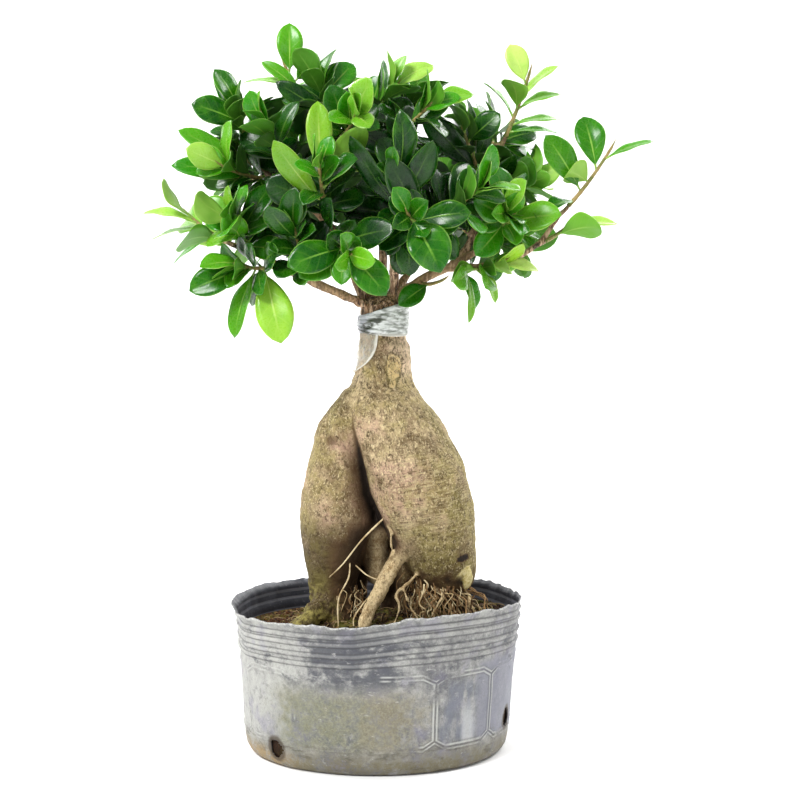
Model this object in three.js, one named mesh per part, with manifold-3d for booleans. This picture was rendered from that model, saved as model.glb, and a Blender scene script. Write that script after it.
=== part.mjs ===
// Ficus ginseng bonsai in its nursery pot: a grafted Ficus microcarpa on a swollen rootstock.
// Millimetres, +Z up, the front of the plant towards -Y. The origin is the middle of the pot's underside.
import * as THREE from 'three';
import { mergeVertices } from 'three/addons/utils/BufferGeometryUtils.js';
import Module from 'manifold-3d';

const wasm = await Module();
wasm.setup();

const GAP = 0.3; // between two pieces that touch

// Nursery pot: a thin moulded shell, ribbed under its rim
const POT_HEIGHT = 88.6;
const POT_WALL = 1.0;
const POT_FLOOR = 1.6;
const POT_SIDES = 26;
const POT_FLAT_RADIUS = 72;
const POT_FLOOR_RADIUS = 73;
const POT_OUTSIDE = [[76.4, 1.2], [78.3, 4], [80.6, 22], [82.8, 52]]; // radius and height up to the ribs
const POT_RIB_HEIGHTS = [65.3, 71, 77.8, 82.4];
const POT_RIB = 1.1; // how far a rib stands out
const POT_TOP_RADIUS = 85.2; // just under the rim
const POT_INSIDE_TOP = 83.4; // above it the inside of the wall flares too
const POT_RIM_FOOT = [85.6, 84.6]; // radius and height where the outside starts to flare
const POT_RIM_FLARE = 2.2;
const POT_RIM_LEAN = 0.9; // the rim is pushed out to the left
// The cut rim isn't level: degrees round from the front, and height
const POT_RIM = [
  [-180, 90.5], [-90, 88.4], [-65, 85.5], [-46, 86.8], [-8, 87.6], [14, 92.4], [40, 92.8], [78, 90.5],
  [130, 92], [180, 90.5],
];
const POT_RIM_EASE = [45, 85]; // heights over which the wall takes up the slope of the rim
const POT_DENT = 0.7; // the soft wall isn't quite round
const DRAIN_HOLE_RADIUS = 5.4;
const DRAIN_HOLES = [[-46, 11], [74, 22], [194, 14]]; // degrees round from the front, and height

// Soil: higher to the right and round the roots
const SOIL_LEVEL = 76;
const SOIL_SLOPE = 0.075;
const SOIL_MOUND = 4;
const SOIL_MOUND_RADIUS = 42;
const SOIL_BUMP = 1.1;
const SOIL_WALL_GAP = 0.9; // dry soil has shrunk from the wall at its top
const SOIL_RINGS = [0.94, 0.66, 0.34];
const ROOT_CLEARANCE = 0.4; // round each root in its hole in the soil

// Rootstock. Stations are [x, y, z, half width, half depth] from the bottom up
const NECK_TOP = 258;
const RIGHT_TUBER = [
  [42, 0, 93, 9, 9], [41.5, 0, 97, 15.5, 15], [40, -1, 106, 20.5, 20.5], [36.5, -2, 118, 24, 25],
  [33.5, -3, 129, 26.5, 28], [29.5, -4, 142, 29.6, 30.5], [25.6, -4, 157, 30.6, 31], [22, -4, 172, 30.4, 30],
  [16.6, -3, 187, 28.4, 27.5], [11.6, -2, 201, 25.4, 24.5], [5, -1, 212, 23, 21], [4, 0, 220, 19, 18.6],
  [4.6, 0, 228, 16.4, 16.6], [5.4, 0, 240, 15.6, 15.8], [4.8, 0, 245, 14.8, 14.8], [4.3, 0, 248, 14, 14],
  [4.3, 0, NECK_TOP, 14, 14],
];
const LEFT_TUBER = [
  [-26, 2, 62, 9, 10], [-26, 1, 76, 14.5, 15], [-26, 2, 88, 13.6, 14], [-26.4, 3, 98, 14.4, 15],
  [-25.8, 4, 110, 17, 18.5], [-24.8, 5, 122, 20, 22.5], [-23.4, 5, 135, 22.6, 25.5],
  [-22.2, 5, 150, 23, 26.5], [-20.8, 5, 165, 22, 25.5], [-18, 4, 178, 21.6, 23.5], [-15, 2, 191, 21.4, 21],
  [-11, 1, 203, 18.5, 18], [-4.5, 0, 216, 14.5, 15],
];
const MIDDLE_TUBER = [
  [1, 9, 97, 4, 5], [0.5, 9, 102, 7, 8], [0, 9, 114, 8.4, 10], [0.5, 8, 128, 8.6, 11], [3, 6, 144, 9, 12],
];
const TUBER_SIDES = 12;
// Roots: [sides, half thickness at its start and end, points from the tuber outwards]
const ROOTS = {
  front_leg: [7, 5.6, 3.2, [[17, -12, 124], [10, -19, 112], [2, -25, 98], [-6, -31, 82], [-9, -33, 66]]],
  cut_stub: [8, 5.6, 5.0, [[44, -4, 107], [52, -7, 104], [57.5, -9.5, 102]]],
  back_root: [6, 8, 5, [[40, 8, 104], [43, 14, 88], [46, 20, 66]]],
  side_root: [6, 7, 4, [[46, -2, 101], [50, 0, 86], [55, 2, 66]]],
  left_flare: [6, 8, 4.5, [[-29, -2, 92], [-36, -14, 83], [-46, -26, 76], [-52, -33, 69]]],
  left_back_flare: [6, 8, 4.5, [[-28, 6, 90], [-32, 18, 82], [-36, 30, 70]]],
  middle_root: [6, 5.5, 3.2, [[-9, 16, 122], [-9, 17, 100], [-11, 20, 68]]],
  rear_root: [6, 7.5, 5, [[24, 12, 116], [17, 16, 98], [14, 20, 66]]],
};
const ROOT_STEPS = 4; // lengths that a root is bent into
const THIN_ROOT_SIDES = 3;
const THIN_ROOT_TAPER = 0.8;
const THIN_ROOTS = [
  [1.5, [[6, -10, 143], [-8, -17, 128], [-19, -20, 113], [-30, -8, 101]]],
  [1.4, [[8, -17, 140], [9, -20, 128], [10, -18, 116]]],
  [1.7, [[-16, -4, 119], [-16, -19, 106], [-22, -25, 93], [-22, -28, 74]]],
  [1.8, [[26, -14, 108], [19, -22, 102], [12, -26, 96], [14, -28, 88], [8, -31, 72]]],
  [1.3, [[16, -24, 101], [20, -28, 90], [25, -30, 82], [29, -31, 72]]],
  [1.6, [[36, -14, 98], [42, -18, 92], [45, -20, 84], [47, -21, 73]]],
  [1.4, [[43, -10, 98], [38, -20, 91], [33, -22, 82], [31, -24, 73]]],
  [1.5, [[52, -6, 99], [56, -12, 92], [55, -16, 82], [57, -17, 73]]],
];

// Graft tape: a band of film round the graft, higher on the right, with a loose tail on the left
const TAPE_CENTRE = 4.3;
const TAPE_INSIDE = 14.5;
const TAPE_THICKNESS = 0.9;
const TAPE_BOTTOM = 251;
const TAPE_TOP = 265;
const TAPE_SIDES = 20;
const TAPE_TOP_SLANT = 4.5; // how much the top edge rises to the right and falls to the left
const TAPE_BOTTOM_SLANT = 1.5; // and the bottom edge the other way
const TAPE_FRONT_DROP = 2; // how far the bottom edge hangs down at the front
const TAIL_ANGLES = [172, 246]; // degrees, seen from above, from +X
const TAIL_LENGTH = 24;
const TAIL_OVERLAP = 4; // the part of the tail behind the band
const TAIL_NARROWING = 0.62;
const TAIL_REACH = 2.5; // how far the tail stands off from the neck
const TAIL_THICKNESS = 0.8;

// Scion wood: the graft's callus, then limbs as [half thickness at its start and end, points outwards]
const CALLUS = [
  [4.3, 0, NECK_TOP + GAP, 12.8, 12.8], [4.3, 0, 263, 13, 12.6], [4.3, 0, 268, 11, 10], [4.3, 0, 271, 5, 4.5],
];
const CALLUS_SIDES = 12;
const LIMB_SIDES = 4;
const LIMBS = {
  left_low: [3.4, 1.6, [
    [0, -3, 262], [-8, -5, 268], [-24, -11, 275], [-52, -20, 288], [-66, -25, 296], [-84, -28, 303]]],
  left_up: [3.3, 1.6, [
    [-2, 2, 263], [-10, 2, 277], [-16, 2, 291], [-30, 4, 316], [-53, 6, 339], [-76, 8, 353]]],
  centre: [3.3, 1.6, [
    [8, -1, 264], [11, -3, 281], [9, -7, 306], [-2, -9, 338], [-22, -6, 366], [-38, -2, 384]]],
  right: [3.6, 1.6, [
    [9, -2, 262], [13, -3, 272], [29, -7, 283], [46, -11, 291], [68, -14, 305], [84, -12, 322]]],
  arch: [2.1, 1.4, [
    [46, -11, 291], [60, -18, 290], [82, -21, 295], [97, -20, 305], [108, -18, 320]]],
  right_up: [2.4, 1.6, [[46, -11, 291], [56, -8, 304], [63, -2, 326], [70, 2, 348], [75, 4, 362]]],
  back_left: [3.0, 1.6, [[1, 5, 264], [-4, 12, 275], [-28, 44, 310], [-46, 60, 332]]],
  back_right: [3.0, 1.6, [[8, 4, 263], [11, 9, 272], [22, 26, 290], [38, 46, 313], [50, 58, 334]]],
  back_up: [3.0, 1.6, [[4, 6, 265], [4, 17, 298], [2, 24, 336], [8, 22, 366]]],
  front_left: [2.3, 1.6, [[-16, 2, 291], [-20, -20, 304], [-28, -40, 318]]],
  front_right: [2.3, 1.6, [[10.6, -4, 286], [20, -24, 302], [30, -44, 318]]],
};

// Leafy shoots. A woody spur leaves the limb, and the green twig goes on from its flat end
const TWIG_SIDES = 3;
const TWIG_STEPS = 2;
const LONG_SPUR = 18; // a longer one bends
const TWIG_LENGTH = 40; // longest leafy twig
const TWIG_RADIUS = 1.3;
const TWIG_TIP_RADIUS = 0.9;
const SPUR_LENGTH = 5; // shortest spur, past the limb's surface
const SPUR_SWELLING = 0.5; // how much thicker a spur starts than its twig
const LARGEST_SPUR = 0.8; // a shoot with a larger share of bare spur is left out
const TWIG_SAG = 0.1;
const WOOD_CLEARANCE = 1.6; // between a fill shoot's twig and other wood

// Leaves: a thin slab, arched along its length and lifted at its edges, widest past the middle
const LEAF_LENGTH = 36;
const LEAF_WIDTH = 20;
const LEAF_THICKNESS = 0.66;
const LEAF_ARCH = 0.06;
const LEAF_FOLD = 0.1;
const LEAF_STATIONS = [[0.36, 0.88], [0.76, 0.9]]; // place along the leaf, and share of its half width
const LEAF_SPREAD = [1.25, 0.35]; // angle from the twig, in radians, at the twig's start and at its tip
const YOUNG_LEAF = 0.78; // size of the leaf at the twig's tip
const LAST_LEAF_PLACE = 0.96; // along the twig, so that the leaf is sunk in it
const GOLDEN_ANGLE = THREE.MathUtils.degToRad(137.5);
const LEAF_DRAWS = 7; // tries to find a free place for a leaf
const LARGEST_SHIFT = 8; // of the tip of a leaf that shows, at the last but one try
const LEAF_CLEARANCE = 3.5; // between the sample points of leaves on two shoots
const OWN_CLEARANCE = 2.4; // between those of leaves on one shoot
const LEAF_ROOT = 0.35; // the part of a leaf by its twig, where its own shoot's leaves may meet
const WOOD_SPACE = 2.2; // between a leaf and the surface of other wood
const OWN_WOOD_SPACE = 0.8; // between a leaf and its own twig
const SAMPLE_STEP = 2.5;
const SAMPLE_CELL = 6; // size of the boxes that the sample points are sorted into

// How a leaf faces: the way its glossy side looks
const FACES = {
  front: [0.1, -1, 0.3],
  front_left: [-0.6, -0.8, 0.4],
  front_right: [0.6, -0.8, 0.4],
  up: [0, -0.45, 0.9],
  under: [0, 0.85, 0.5],
  edge: [0.9, -0.4, 0.2],
};

// The shoots that make the outline and the front of the crown:
// limb, place along it, tip, leaves added by rule, then the leaves that show, as [tip, width, face]
const SHOWN_SHOOTS = {
  crown_left: ['centre', 1, [-53, 0, 407], 2, [
    [[-67, -6, 414], 9, 'up'], [[-78, 2, 405], 10, 'up'], [[-35, 8, 417], 14, 'front_right'],
    [[-51, -3, 434], 16, 'front']]],
  crown_middle: ['centre', 0.82, [-33, -8, 396], 4, [
    [[-58, -16, 398], 12, 'front_left'], [[-13, 0, 411], 16, 'front']]],
  crown_right: ['back_up', 1, [21, 8, 386], 3, [
    [[3, 0, 405], 13, 'front_left'], [[46, 5, 393], 14, 'up'], [[28, 4, 410], 16, 'front_right']]],
  crown_far_right: ['right_up', 0.62, [52, -14, 369], 3, [
    [[28, -24, 378], 16, 'front_left'], [[56, -10, 389], 8, 'edge'], [[72, -22, 379], 16, 'front']]],
  upper_left: ['left_up', 1, [-80, -6, 381], 4, [
    [[-96, 2, 402], 12, 'up'], [[-107, -16, 386], 18, 'front']]],
  middle_left: ['left_up', 0.84, [-88, -26, 348], 2, [
    [[-94, -36, 326], 16, 'front_left'], [[-117, -30, 350], 15, 'front'], [[-112, -24, 371], 16, 'front'],
    [[-90, -38, 374], 17, 'front_left']]],
  upper_left_front: ['left_up', 0.72, [-64, -34, 374], 6, []],
  inner_left: ['left_low', 0.5, [-46, -52, 312], 6, []],
  low_left: ['left_low', 1, [-107, -22, 318], 3, [
    [[-120, -24, 294], 9, 'up'], [[-133, -14, 309], 10, 'up'], [[-136, -24, 322], 14, 'up']]],
  hanging_left: ['left_low', 0.66, [-76, -40, 290], 2, [
    [[-54, -48, 246], 22, 'front'], [[-82, -42, 249], 15, 'front_left'], [[-107, -46, 276], 18, 'front']]],
  low_front: ['front_left', 0.8, [-14, -74, 297], 1, [
    [[-26, -70, 328], 17, 'front_left'], [[8, -80, 312], 19, 'front'], [[-45, -84, 293], 20, 'front'],
    [[6, -84, 277], 20, 'front']]],
  front_right: ['front_right', 0.9, [19, -78, 319], 1, [
    [[10, -84, 348], 18, 'front'], [[53, -76, 321], 16, 'front'], [[37, -88, 290], 25, 'front']]],
  front_glossy: ['front_right', 0.62, [10, -70, 344], 2, [
    [[-14, -74, 362], 14, 'front_left'], [[32, -78, 357], 17, 'front_right'],
    [[19, -74, 376], 17, 'front_right']]],
  front_bright: ['front_left', 1, [-31, -68, 346], 3, [
    [[-57, -64, 361], 15, 'front_left'], [[-5, -70, 369], 17, 'under'], [[-32, -64, 383], 15, 'front']]],
  right_upright: ['right_up', 1, [91, 4, 403], 1, [
    [[108, 0, 370], 11, 'up'], [[110, 4, 380], 11, 'up'], [[66, 6, 401], 8, 'edge'],
    [[109, 2, 396], 12, 'up'], [[111, 8, 410], 13, 'front'], [[108, 0, 421], 12, 'front'],
    [[80, 2, 422], 14, 'front']]],
  arch_tip: ['arch', 1, [138, -12, 358], 0, [
    [[100, -24, 322], 18, 'front_left'], [[100, -20, 367], 18, 'front'], [[113, -26, 346], 18, 'under'],
    [[124, -8, 380], 18, 'front'], [[164, -12, 364], 10, 'up']]],
  arch_low: ['arch', 0.7, [112, -22, 313], 1, [
    [[86, -30, 318], 13, 'front'], [[141, -22, 319], 10, 'up']]],
  right_low: ['right', 0.55, [72, -30, 292], 1, [
    [[57, -34, 258], 8, 'edge'], [[44, -38, 284], 14, 'under'], [[96, -30, 290], 12, 'up']]],
  low_neck: ['right', 0.34, [39, -28, 282], 0, [
    [[14, -34, 268], 13, 'front'], [[62, -32, 276], 13, 'under']]],
};

// The other shoots fill the crown: spread evenly over two shells of a dome, each from the nearest limb
const DOME_CENTRE = [-4, 2, 334];
const DOME_RADII = [116, 104, 80];
const SHELLS = [[38, 0.8], [9, 0.46]]; // directions tried, and share of the radii
const LOWEST_DIRECTION = -0.4;
const HIGHEST_DIRECTION = 0.98;
const SHOOT_SPACING = 26; // least distance between the tips of two shoots
const SHORTEST_REACH = 22; // least distance from the limb to the tip of a fill shoot
const FILL_LEAVES = 7;
const FILL_SEED = 26;

const at = ([x, y, z]) => new THREE.Vector3(x, y, z);

// A small seeded generator, so that the plant grows the same way each time
function seededDraws(seed) {
  let state = seed >>> 0;
  return () => {
    state = (Math.imul(state, 1664525) + 1013904223) >>> 0;
    return state / 4294967296;
  };
}

// A closed solid from a geometry: shared corners merged, and faces that closed to a line left out
function solidFrom(geometry) {
  geometry.deleteAttribute('normal');
  geometry.deleteAttribute('uv');
  const merged = mergeVertices(geometry, 1e-4);
  const corners = merged.index.array;
  const triVerts = [];
  for (let i = 0; i < corners.length; i += 3) {
    const [a, b, c] = corners.slice(i, i + 3);
    if (a !== b && b !== c && c !== a) triVerts.push(a, b, c);
  }
  const vertProperties = new Float32Array(merged.attributes.position.array);
  const mesh = new wasm.Mesh({ numProp: 3, vertProperties, triVerts: new Uint32Array(triVerts) });
  return new wasm.Manifold(mesh);
}

function joined(solids) {
  return solids.reduce((whole, solid) => whole.add(solid));
}

function meshFrom(solid, name, material) {
  const { vertProperties, triVerts } = solid.getMesh();
  const geometry = new THREE.BufferGeometry();
  geometry.setAttribute('position', new THREE.BufferAttribute(vertProperties, 3));
  geometry.setIndex(new THREE.BufferAttribute(triVerts, 1));
  geometry.computeVertexNormals();
  const mesh = new THREE.Mesh(geometry, material);
  mesh.name = name;
  return mesh;
}

// Each vertex of a geometry moved to where the formula puts it
function reshape(geometry, formula) {
  const position = geometry.attributes.position;
  const point = new THREE.Vector3();
  for (let i = 0; i < position.count; i += 1) {
    point.fromBufferAttribute(position, i);
    const moved = formula(point);
    position.setXYZ(i, moved.x, moved.y, moved.z);
  }
  return geometry;
}

// An upright body through oval stations, made from a cylinder; grow makes it fatter all round
function column(stations, sides, grow = 0) {
  const steps = stations.length - 1;
  const geometry = new THREE.CylinderGeometry(1, 1, steps, sides, steps);
  return solidFrom(reshape(geometry, (point) => {
    const place = Math.round(point.y + steps / 2);
    const [x, y, z, halfWidth, halfDepth] = stations[place];
    const ends = place === 0 ? -grow : 0;
    const across = Math.hypot(point.x, point.z) < 0.5 ? 0 : grow;
    return new THREE.Vector3(
      x + point.x * (halfWidth + across), y - point.z * (halfDepth + across), z + ends);
  }));
}

// A tapering branch or root along a curve, made from a cylinder bent along it
function branch(curve, startRadius, endRadius, sides, steps) {
  const frames = curve.computeFrenetFrames(steps);
  const geometry = new THREE.CylinderGeometry(1, 1, steps, sides, steps);
  return solidFrom(reshape(geometry, (point) => {
    const place = Math.round(point.y + steps / 2);
    const radius = THREE.MathUtils.lerp(startRadius, endRadius, place / steps);
    return curve.getPointAt(place / steps)
      .addScaledVector(frames.normals[place], point.x * radius)
      .addScaledVector(frames.binormals[place], -point.z * radius);
  }));
}

const smoothCurve = (points) => new THREE.CatmullRomCurve3(points.map(at), false, 'catmullrom', 0.5);

// A turned profile of [radius, height] points, with Z as its axis
function turned(profile, sides) {
  const points = profile.map(([radius, height]) => new THREE.Vector2(radius, height));
  return new THREE.LatheGeometry(points, sides).rotateX(Math.PI / 2);
}

// Pot

// The wall's inside, as [radius, height] points from the floor up
const POT_INSIDE = [
  [POT_OUTSIDE[1][0] - 2 * POT_WALL, POT_OUTSIDE[1][1]], [POT_OUTSIDE[2][0] - POT_WALL, POT_OUTSIDE[2][1]],
  [POT_OUTSIDE[3][0] - POT_WALL, POT_OUTSIDE[3][1]], [POT_TOP_RADIUS - POT_WALL, POT_INSIDE_TOP],
];

function insideRadius(height) {
  const next = Math.max(1, POT_INSIDE.findIndex(([, level]) => level >= height));
  const [[fromRadius, from], [toRadius, to]] = [POT_INSIDE[next - 1], POT_INSIDE[next]];
  return THREE.MathUtils.mapLinear(height, from, to, fromRadius, toRadius);
}

// The soft wall's dents
function dented(point) {
  const radius = Math.hypot(point.x, point.y);
  if (radius < 1) return point;
  const angle = Math.atan2(point.y, point.x);
  const upTheWall = THREE.MathUtils.clamp(point.z / POT_HEIGHT, 0, 1);
  const dent = POT_DENT * upTheWall * (Math.sin(3 * angle + 1) + 0.6 * Math.sin(5 * angle + 2.2));
  const atRim = THREE.MathUtils.smoothstep(point.z, POT_RIB_HEIGHTS[3] + 1, POT_HEIGHT);
  const lean = -POT_RIM_LEAN * atRim * Math.cos(angle);
  const scale = (radius + dent + lean) / radius;
  return new THREE.Vector3(point.x * scale, point.y * scale, point.z);
}

// The upper wall raised or lowered towards the uneven rim
function rimmed(point) {
  const degrees = THREE.MathUtils.radToDeg(Math.atan2(point.x, -point.y));
  const next = Math.max(1, POT_RIM.findIndex(([place]) => place >= degrees));
  const [[fromPlace, from], [toPlace, to]] = [POT_RIM[next - 1], POT_RIM[next]];
  const rim = THREE.MathUtils.mapLinear(degrees, fromPlace, toPlace, from, to);
  const ease = THREE.MathUtils.smoothstep(point.z, ...POT_RIM_EASE);
  return new THREE.Vector3(point.x, point.y, point.z + ease * (rim - POT_HEIGHT));
}

function potProfile() {
  const profile = [[0, 0], [POT_FLAT_RADIUS, 0], ...POT_OUTSIDE];
  const [topRadius, lowRadius, lowHeight] = [POT_TOP_RADIUS, POT_OUTSIDE[3][0], POT_OUTSIDE[3][1]];
  const wallAt = (height) => THREE.MathUtils.mapLinear(
    height, lowHeight, POT_RIB_HEIGHTS[3], lowRadius, topRadius);
  let below = POT_RIB_HEIGHTS[0] - 5;
  for (const height of POT_RIB_HEIGHTS) {
    const valley = (below + height) / 2;
    profile.push([wallAt(valley), valley], [wallAt(height) + POT_RIB, height]);
    below = height;
  }
  const rim = POT_TOP_RADIUS + POT_RIM_FLARE;
  profile.push(POT_RIM_FOOT, [rim, POT_HEIGHT], [rim - POT_WALL, POT_HEIGHT]);
  profile.push(...[...POT_INSIDE].reverse(), [POT_FLOOR_RADIUS, POT_FLOOR], [0, POT_FLOOR]);
  return profile;
}

function buildPot() {
  let pot = solidFrom(reshape(turned(potProfile(), POT_SIDES), (point) => rimmed(dented(point))));
  for (const [degrees, height] of DRAIN_HOLES) {
    const drill = new THREE.CylinderGeometry(DRAIN_HOLE_RADIUS, DRAIN_HOLE_RADIUS, 12, 10);
    drill.translate(0, -POT_OUTSIDE[2][0], 0);
    drill.rotateZ(THREE.MathUtils.degToRad(degrees)).translate(0, 0, height);
    pot = pot.subtract(solidFrom(drill));
  }
  return pot;
}

// Rootstock

function buildCaudex(grow = 0) {
  const tubers = [RIGHT_TUBER, LEFT_TUBER, MIDDLE_TUBER];
  const bodies = tubers.map((stations) => column(stations, TUBER_SIDES, grow));
  for (const [sides, startRadius, endRadius, points] of Object.values(ROOTS)) {
    bodies.push(branch(smoothCurve(points), startRadius + grow, endRadius + grow, sides, ROOT_STEPS));
  }
  for (const [radius, points] of THIN_ROOTS) {
    const tipRadius = radius * THIN_ROOT_TAPER;
    bodies.push(branch(smoothCurve(points), radius + grow, tipRadius + grow, THIN_ROOT_SIDES, ROOT_STEPS));
  }
  return joined(bodies);
}

// Soil

function buildSoil(rootSpace) {
  const draw = seededDraws(7);
  const floor = POT_FLOOR + GAP;
  const side = POT_INSIDE.slice(0, 3).map(([radius, height]) => [radius - GAP, height + GAP]);
  const topRadius = insideRadius(SOIL_LEVEL) - SOIL_WALL_GAP;
  const rings = [1, ...SOIL_RINGS].map((share) => [topRadius * share, SOIL_LEVEL]);
  const profile = [[0, floor], [POT_FLOOR_RADIUS - 2 * GAP, floor], ...side, ...rings, [0, SOIL_LEVEL]];
  const bumps = new Map();
  const geometry = reshape(turned(profile, POT_SIDES), (point) => {
    if (point.z < SOIL_LEVEL - 1) return dented(point);
    const place = `${Math.round(point.x * 10)},${Math.round(point.y * 10)}`;
    if (!bumps.has(place)) bumps.set(place, (draw() - 0.5) * 2 * SOIL_BUMP);
    const radius = Math.hypot(point.x, point.y);
    const mound = SOIL_MOUND * Math.exp(-((radius / SOIL_MOUND_RADIUS) ** 2));
    const height = SOIL_LEVEL + SOIL_SLOPE * point.x + mound + bumps.get(place);
    const atWall = radius > topRadius - 1;
    const scale = atWall ? (insideRadius(height) - SOIL_WALL_GAP) / radius : 1;
    return dented(new THREE.Vector3(point.x * scale, point.y * scale, height));
  });
  return solidFrom(geometry).subtract(rootSpace);
}

// Graft tape

function buildTape() {
  const outside = TAPE_INSIDE + TAPE_THICKNESS;
  const profile = [[TAPE_INSIDE, 0], [outside, 0], [outside, 1], [TAPE_INSIDE, 1], [TAPE_INSIDE, 0]];
  const band = solidFrom(reshape(turned(profile, TAPE_SIDES), (point) => {
    const slant = point.x / outside;
    const droop = TAPE_FRONT_DROP * Math.max(0, -point.y / outside);
    const bottom = TAPE_BOTTOM - droop - TAPE_BOTTOM_SLANT * slant;
    const top = TAPE_TOP + TAPE_TOP_SLANT * slant;
    return new THREE.Vector3(point.x + TAPE_CENTRE, point.y, THREE.MathUtils.lerp(bottom, top, point.z));
  }));
  const [from, to] = TAIL_ANGLES.map(THREE.MathUtils.degToRad);
  const tail = solidFrom(reshape(new THREE.BoxGeometry(1, 1, 1, 5, 1, 3), (point) => {
    const down = 0.5 - point.z;
    const narrow = 1 - TAIL_NARROWING * down;
    const angle = from + (to - from) * (0.5 - point.x) * narrow;
    const standOff = TAIL_REACH * Math.min(1, down * 1.25);
    const reach = TAPE_INSIDE + 0.1 + standOff + (point.y + 0.5) * TAIL_THICKNESS;
    const lift = TAPE_BOTTOM + TAIL_OVERLAP - TAIL_LENGTH * down;
    return new THREE.Vector3(TAPE_CENTRE + reach * Math.cos(angle), reach * Math.sin(angle), lift);
  }));
  return band.add(tail);
}

// Scion wood and shoots

function splitCurve(start, bend, end, share) {
  const curve = new THREE.QuadraticBezierCurve3(start, bend, end);
  const cut = curve.getPoint(share);
  const spur = new THREE.QuadraticBezierCurve3(start, start.clone().lerp(bend, share), cut);
  const second = bend.clone().lerp(end, share);
  const gap = second.clone().sub(cut).normalize().multiplyScalar(GAP);
  const twig = new THREE.QuadraticBezierCurve3(cut.clone().add(gap), second, end);
  return { spur, twig };
}

// Points with a size, sorted into boxes, to find out whether a place is free
class Crowd {
  constructor() {
    this.boxes = new Map();
  }

  static box(value) {
    return Math.floor(value / SAMPLE_CELL);
  }

  add(point, radius, owner, nearRoot = false) {
    const key = [point.x, point.y, point.z].map(Crowd.box).join();
    if (!this.boxes.has(key)) this.boxes.set(key, []);
    this.boxes.get(key).push({ point, radius, owner, nearRoot });
  }

  isFree(point, spaceTo) {
    const [i, j, k] = [point.x, point.y, point.z].map(Crowd.box);
    for (let a = i - 1; a <= i + 1; a += 1) {
      for (let b = j - 1; b <= j + 1; b += 1) {
        for (let c = k - 1; c <= k + 1; c += 1) {
          for (const other of this.boxes.get(`${a},${b},${c}`) ?? []) {
            if (other.point.distanceTo(point) < spaceTo(other)) return false;
          }
        }
      }
    }
    return true;
  }
}

const limbCurves = new Map(
  Object.entries(LIMBS).map(([name, [, , points]]) => [name, smoothCurve(points)]));
const limbRadius = (name, place) => THREE.MathUtils.lerp(LIMBS[name][0], LIMBS[name][1], place);

function woodSamples(curve, startRadius, endRadius) {
  const count = Math.max(2, Math.ceil(curve.getLength() / SAMPLE_STEP));
  const samples = [];
  for (let i = 0; i <= count; i += 1) {
    const radius = THREE.MathUtils.lerp(startRadius, endRadius, i / count);
    samples.push({ point: curve.getPoint(i / count), radius });
  }
  return samples;
}

const wood = new Crowd();
for (const [name, curve] of limbCurves) {
  for (const { point, radius } of woodSamples(curve, limbRadius(name, 0), limbRadius(name, 1))) {
    wood.add(point, radius, 'limbs');
  }
}

// A shoot from a limb to its tip. It is refused where its twig would run into other wood
function plantShoot(name, limb, place, tip, mustFit) {
  const start = limbCurves.get(limb).getPoint(place);
  const reach = start.distanceTo(tip);
  const bend = start.clone().lerp(tip, 0.5);
  bend.z -= TWIG_SAG * reach;
  const clearOfLimb = limbRadius(limb, place) + SPUR_LENGTH;
  const share = Math.max(clearOfLimb, reach - TWIG_LENGTH) / reach;
  if (share > LARGEST_SPUR) return null;
  const { spur, twig } = splitCurve(start, bend, tip, share);
  const spurRadius = Math.min(limbRadius(limb, place) - 0.1, TWIG_RADIUS + SPUR_SWELLING);
  const twigWood = woodSamples(twig, TWIG_RADIUS, TWIG_TIP_RADIUS);
  const spurWood = woodSamples(spur, spurRadius, TWIG_RADIUS);
  const spaceTo = (radius) => (other) => radius + other.radius + WOOD_CLEARANCE;
  const isClear = ({ point, radius }) => wood.isFree(point, spaceTo(radius));
  const pastLimb = (samples) => samples.filter(({ point }) => point.distanceTo(start) > clearOfLimb + 2);
  if (mustFit && !pastLimb([...twigWood, ...spurWood]).every(isClear)) return null;
  for (const { point, radius } of spurWood) wood.add(point, radius, 'limbs');
  for (const { point, radius } of twigWood) wood.add(point, radius, name);
  return { name, tip, spur, twig, spurRadius, leaves: [] };
}

const shoots = [];
for (const [name, [limb, place, tip]] of Object.entries(SHOWN_SHOOTS)) {
  shoots.push(plantShoot(name, limb, place, at(tip), false));
}

// The place on a limb from which a fill shoot grows: near its tip, and rather below it than above
function nearestPlace(tip) {
  let best = { cost: Infinity };
  for (const [limb, curve] of limbCurves) {
    for (let step = 3; step <= 10; step += 1) {
      const place = step / 10;
      const point = curve.getPoint(place);
      const cost = point.distanceTo(tip) + Math.max(0, point.z - tip.z);
      if (point.distanceTo(tip) > SHORTEST_REACH && cost < best.cost) best = { cost, limb, place };
    }
  }
  return best;
}

const fillDraw = seededDraws(FILL_SEED);
for (const [count, share] of SHELLS) {
  for (let i = 0; i < count; i += 1) {
    const height = THREE.MathUtils.lerp(LOWEST_DIRECTION, HIGHEST_DIRECTION, (i + 0.5) / count);
    const level = Math.sqrt(1 - height * height);
    const angle = i * GOLDEN_ANGLE + 0.5 * fillDraw();
    const tip = new THREE.Vector3(
      DOME_CENTRE[0] + share * DOME_RADII[0] * level * Math.cos(angle),
      DOME_CENTRE[1] + share * DOME_RADII[1] * level * Math.sin(angle),
      DOME_CENTRE[2] + share * DOME_RADII[2] * height);
    const { limb, place } = nearestPlace(tip);
    const spaced = shoots.every((shoot) => shoot.tip.distanceTo(tip) > SHOOT_SPACING);
    const shoot = spaced && plantShoot(`fill_${shoots.length}`, limb, place, tip, true);
    if (shoot) shoots.push(shoot);
  }
}

// Leaves

// A leaf's own directions from its base, its tip and the way it faces
function leafAt(base, tip, width, facing) {
  const along = tip.clone().sub(base);
  const length = along.length();
  along.normalize();
  const normal = facing.clone().addScaledVector(along, -facing.dot(along)).normalize();
  const across = new THREE.Vector3().crossVectors(along, normal);
  return { base, along, normal, across, length, width };
}

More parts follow.
